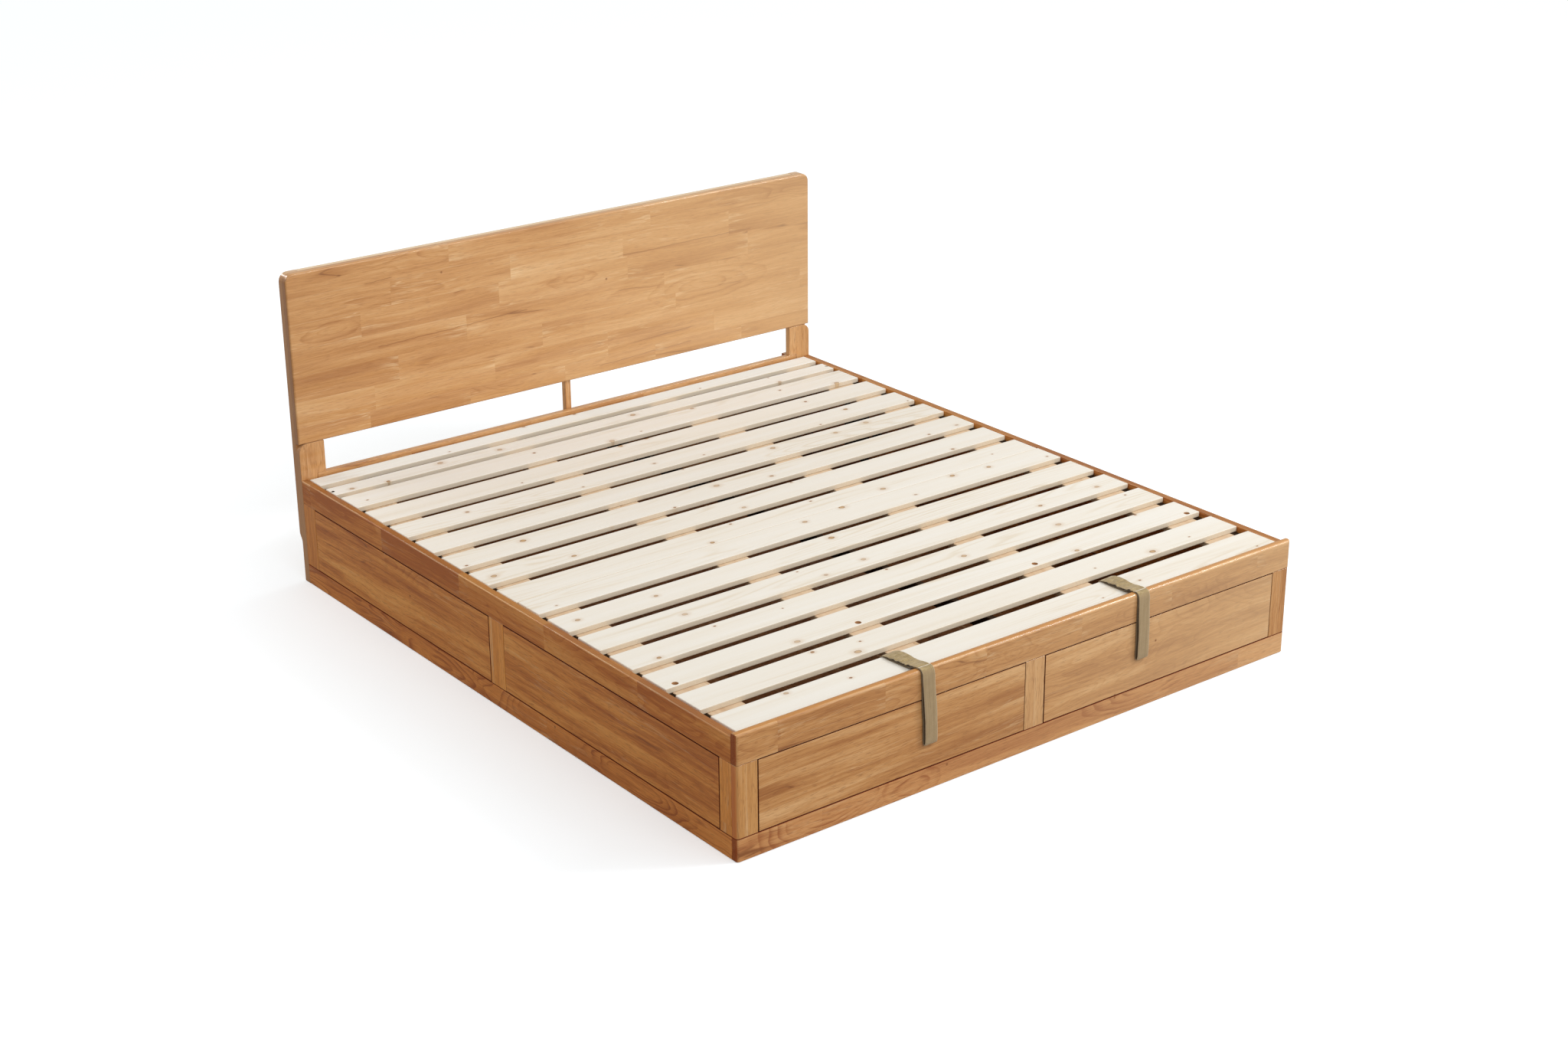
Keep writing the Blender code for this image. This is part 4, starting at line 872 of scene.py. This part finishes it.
def smooth_route(points):
    """A smooth line through the points, whose first two numbers are places; the rest follow."""
    spans = [math.sqrt(math.dist(p[:2], q[:2])) for p, q in zip(points, points[1:])]
    slopes = []
    for i in range(len(points)):
        before, after = max(i - 1, 0), min(i, len(spans) - 1)
        slope = []
        for k in range(len(points[i])):
            left = (points[before + 1][k] - points[before][k]) / spans[before]
            right = (points[after + 1][k] - points[after][k]) / spans[after]
            slope.append((left * spans[after] + right * spans[before]) / (spans[before] + spans[after]))
        slopes.append(slope)
    line = []
    for i, span in enumerate(spans):
        for step in range(STEPS):
            s = step / STEPS
            rise = s * s * (3 - 2 * s)
            line.append([
                p + (q - p) * rise + span * s * (1 - s) * ((1 - s) * m - s * n)
                for p, q, m, n in zip(points[i], points[i + 1], slopes[i], slopes[i + 1])
            ])
    line.append(list(points[-1]))
    return line


def wrinkle(side, travelled, seed, free, loose, pucker):
    """How far across and how far out a point of the webbing lies, side going from -1 to 1."""
    wave = math.sin(travelled * 61 + seed * 2.1) * 0.6 + math.sin(travelled * 143 + seed) * 0.4
    ruffle = math.sin(travelled * 230 + side * 1.6 + seed * 3) * 0.55
    ruffle += math.sin(travelled * 390 - side * 2.4 + seed) * 0.45
    reach = side * (1 + 0.022 * wave * abs(side) ** 2 + 0.05 * loose * ruffle * abs(side) ** 3)
    reach *= 1 + 0.06 * pucker
    ripple = math.sin(travelled * 95 + side * 2.3 + seed * 1.7) * math.cos(side * 2.1 + seed)
    lift = (RIPPLE * ripple + SAG * wave * side) * free
    lift += loose * RUFFLE * (0.5 + 0.5 * ruffle) * (1.0 - 0.35 * side)
    lift += pucker * PUCKER * (1 + 0.4 * math.sin(side * 7 + seed * 2))
    return reach, lift


def strap_rows(shape, line, x, sideways, seed):
    """Rows of vertices across the webbing, and how far along it each row is."""
    foot_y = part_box("foot_left_stile")[0].y
    foot_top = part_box("foot_top_rail")[1].z
    slat_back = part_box("slat_16")[1].y
    seam = seam_place()
    rows, lengths, travelled = [], [], 0.0
    for i, (y, z, share, roll, layer) in enumerate(line):
        if i:
            travelled += math.dist((y, z), line[i - 1][:2])
        lengths.append(travelled)
        before, after = line[max(i - 1, 0)], line[min(i + 1, len(line) - 1)]
        along = Vector((0, after[0] - before[0], after[1] - before[1])).normalized()
        across = Vector((math.cos(roll), 0, math.sin(roll)))
        out = across.cross(along)
        drift = sideways * share - PLY_DRIFT * layer * share
        middle = Vector((x + drift, y, z))
        free = 1.0 if layer < 0.5 and z < foot_top and y < foot_y else 0.35
        loose = pucker = 0.0
        if layer < 0.5 and z > foot_top:
            loose = ease((y - seam) / LOOSE_FROM_CREASE) * ease((slat_back - y) / LOOSE_FROM_GAP)
            pucker = math.exp(-((y - seam - PUCKER_BACK) / PUCKER_WIDTH) ** 2)
        row = []
        for k in range(COLUMNS + 1):
            reach, lift = wrinkle(k / COLUMNS * 2 - 1, travelled, seed, free, loose, pucker)
            row.append(shape.verts.new(middle + across * reach * WEB_WIDTH / 2 + out * lift))
        rows.append(row)
    return rows, lengths


def strap_faces(shape, uv, line, rows, lengths):
    """Faces between the rows, their UV in metres of webbing."""
    for i, (first, second) in enumerate(zip(rows, rows[1:])):
        for k in range(COLUMNS):
            face = shape.faces.new((first[k], first[k + 1], second[k + 1], second[k]))
            face.smooth = True
            corners = ((k, i), (k + 1, i), (k + 1, i + 1), (k, i + 1))
            for loop, (column, row) in zip(face.loops, corners):
                loop[uv].uv = (column / COLUMNS * WEB_WIDTH, lengths[row] + INNER_PLY * line[row][4])


def pull_strap(name, x, sideways, bottom, seed, material):
    """The doubled webbing, with soft wrinkles, a slack edge and selvedges."""
    shape = bmesh.new()
    uv = shape.loops.layers.uv.new("webbing")
    line = smooth_route(strap_route(bottom))
    rows, lengths = strap_rows(shape, line, x, sideways, seed)
    strap_faces(shape, uv, line, rows, lengths)
    mesh = bpy.data.meshes.new(f"{name}_webbing")
    bmesh.ops.recalc_face_normals(shape, faces=shape.faces)
    shape.to_mesh(mesh)
    shape.free()
    mesh.materials.append(material)
    obj = put(f"{name}_webbing", mesh)
    thick = obj.modifiers.new("thickness", "SOLIDIFY")
    thick.thickness = WEB_THICKNESS - 0.0001
    thick.offset = 0
    thick.use_even_offset = True
    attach(obj, "platform")
    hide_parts(name)


# Floor, light and camera

def floor():
    """Paper that glows for the camera and throws little light back on the bed."""
    mesh = bpy.data.meshes.new("studio_floor")
    shape = bmesh.new()
    bmesh.ops.create_grid(shape, x_segments=1, y_segments=1, size=FLOOR_HALF)
    shape.to_mesh(mesh)
    shape.free()
    obj = put("studio_floor", mesh)
    obj.location.z = -FLOOR_DROP
    material = bpy.data.materials.new("studio_floor_paper")
    material.use_nodes = True
    tree = material.node_tree
    tree.nodes.clear()
    out = tree.nodes.new("ShaderNodeOutputMaterial")
    path = tree.nodes.new("ShaderNodeLightPath")
    seen = tree.nodes.new("ShaderNodeAddShader")
    paper = tree.nodes.new("ShaderNodeBsdfDiffuse")
    paper.inputs["Color"].default_value = (*FLOOR_PAPER, 1)
    glow = tree.nodes.new("ShaderNodeEmission")
    glow.inputs["Color"].default_value = (*FLOOR_GLOW, 1)
    glow.inputs["Strength"].default_value = GLOW
    dim = tree.nodes.new("ShaderNodeBsdfDiffuse")
    dim.inputs["Color"].default_value = (*FLOOR_DIM, 1)
    pick = tree.nodes.new("ShaderNodeMixShader")
    tree.links.new(paper.outputs[0], seen.inputs[0])
    tree.links.new(glow.outputs[0], seen.inputs[1])
    tree.links.new(path.outputs["Is Camera Ray"], pick.inputs[0])
    tree.links.new(dim.outputs[0], pick.inputs[1])
    tree.links.new(seen.outputs[0], pick.inputs[2])
    tree.links.new(pick.outputs[0], out.inputs["Surface"])
    mesh.materials.append(material)


def sun(name, towards, strength, spread):
    light = bpy.data.lights.new(name, "SUN")
    light.energy = strength
    light.angle = math.radians(spread)
    obj = put(name, light)
    obj.rotation_mode = "QUATERNION"
    obj.rotation_quaternion = Vector(towards).to_track_quat("Z", "Y")


def softbox(name, place, width, height, power):
    """A lamp that faces the bed, its width level."""
    light = bpy.data.lights.new(name, "AREA")
    light.shape = "RECTANGLE"
    light.size = width
    light.size_y = height
    light.energy = power
    obj = put(name, light)
    obj.location = place
    out = Vector(place).normalized()
    level = Vector((0, 0, 1)).cross(out).normalized()
    obj.rotation_mode = "QUATERNION"
    obj.rotation_quaternion = Matrix((level, out.cross(level), out)).transposed().to_quaternion()


def surroundings():
    """A warm room that lights the bed, shown white."""
    world = bpy.data.worlds.new("studio")
    world.use_nodes = True
    tree = world.node_tree
    tree.nodes.clear()
    out = tree.nodes.new("ShaderNodeOutputWorld")
    path = tree.nodes.new("ShaderNodeLightPath")
    light = tree.nodes.new("ShaderNodeBackground")
    light.inputs["Color"].default_value = (*ROOM_LIGHT, 1)
    light.inputs["Strength"].default_value = ROOM
    white = tree.nodes.new("ShaderNodeBackground")
    white.inputs["Color"].default_value = (1, 1, 1, 1)
    white.inputs["Strength"].default_value = 1.0
    shown = tree.nodes.new("ShaderNodeMath")
    shown.operation = "MAXIMUM"
    pick = tree.nodes.new("ShaderNodeMixShader")
    tree.links.new(path.outputs["Is Camera Ray"], shown.inputs[0])
    tree.links.new(path.outputs["Is Transmission Ray"], shown.inputs[1])
    tree.links.new(shown.outputs[0], pick.inputs[0])
    tree.links.new(light.outputs[0], pick.inputs[1])
    tree.links.new(white.outputs[0], pick.inputs[2])
    tree.links.new(pick.outputs[0], out.inputs["Surface"])
    bpy.context.scene.world = world


def camera():
    """The photograph's own view."""
    yaw, pitch, roll = (math.radians(a) for a in (CAMERA_YAW, CAMERA_PITCH, CAMERA_ROLL))
    ahead = Vector((math.sin(yaw) * math.cos(pitch), math.cos(yaw) * math.cos(pitch), math.sin(pitch)))
    right = ahead.cross(Vector((0, 0, 1))).normalized()
    up = right.cross(ahead)
    x = right * math.cos(roll) + up * math.sin(roll)
    y = up * math.cos(roll) - right * math.sin(roll)
    data = bpy.data.cameras.new("camera")
    data.lens = CAMERA_LENS
    data.sensor_width = CAMERA_SENSOR
    obj = put("camera", data)
    obj.matrix_world = Matrix.Translation(CAMERA_PLACE) @ Matrix((x, y, -ahead)).transposed().to_4x4()
    bpy.context.scene.camera = obj


paint_headboard()
paint_sides()
paint_foot()
paint_platform()
paint_inside()
web = webbing("khaki_webbing_weave")
for strap in STRAPS:
    pull_strap(*strap, web)
floor()
surroundings()
for lamp in SOFTBOXES:
    softbox(*lamp)
for lamp in SUNS:
    sun(*lamp)
camera()
bpy.context.scene.view_settings.view_transform = "Standard"
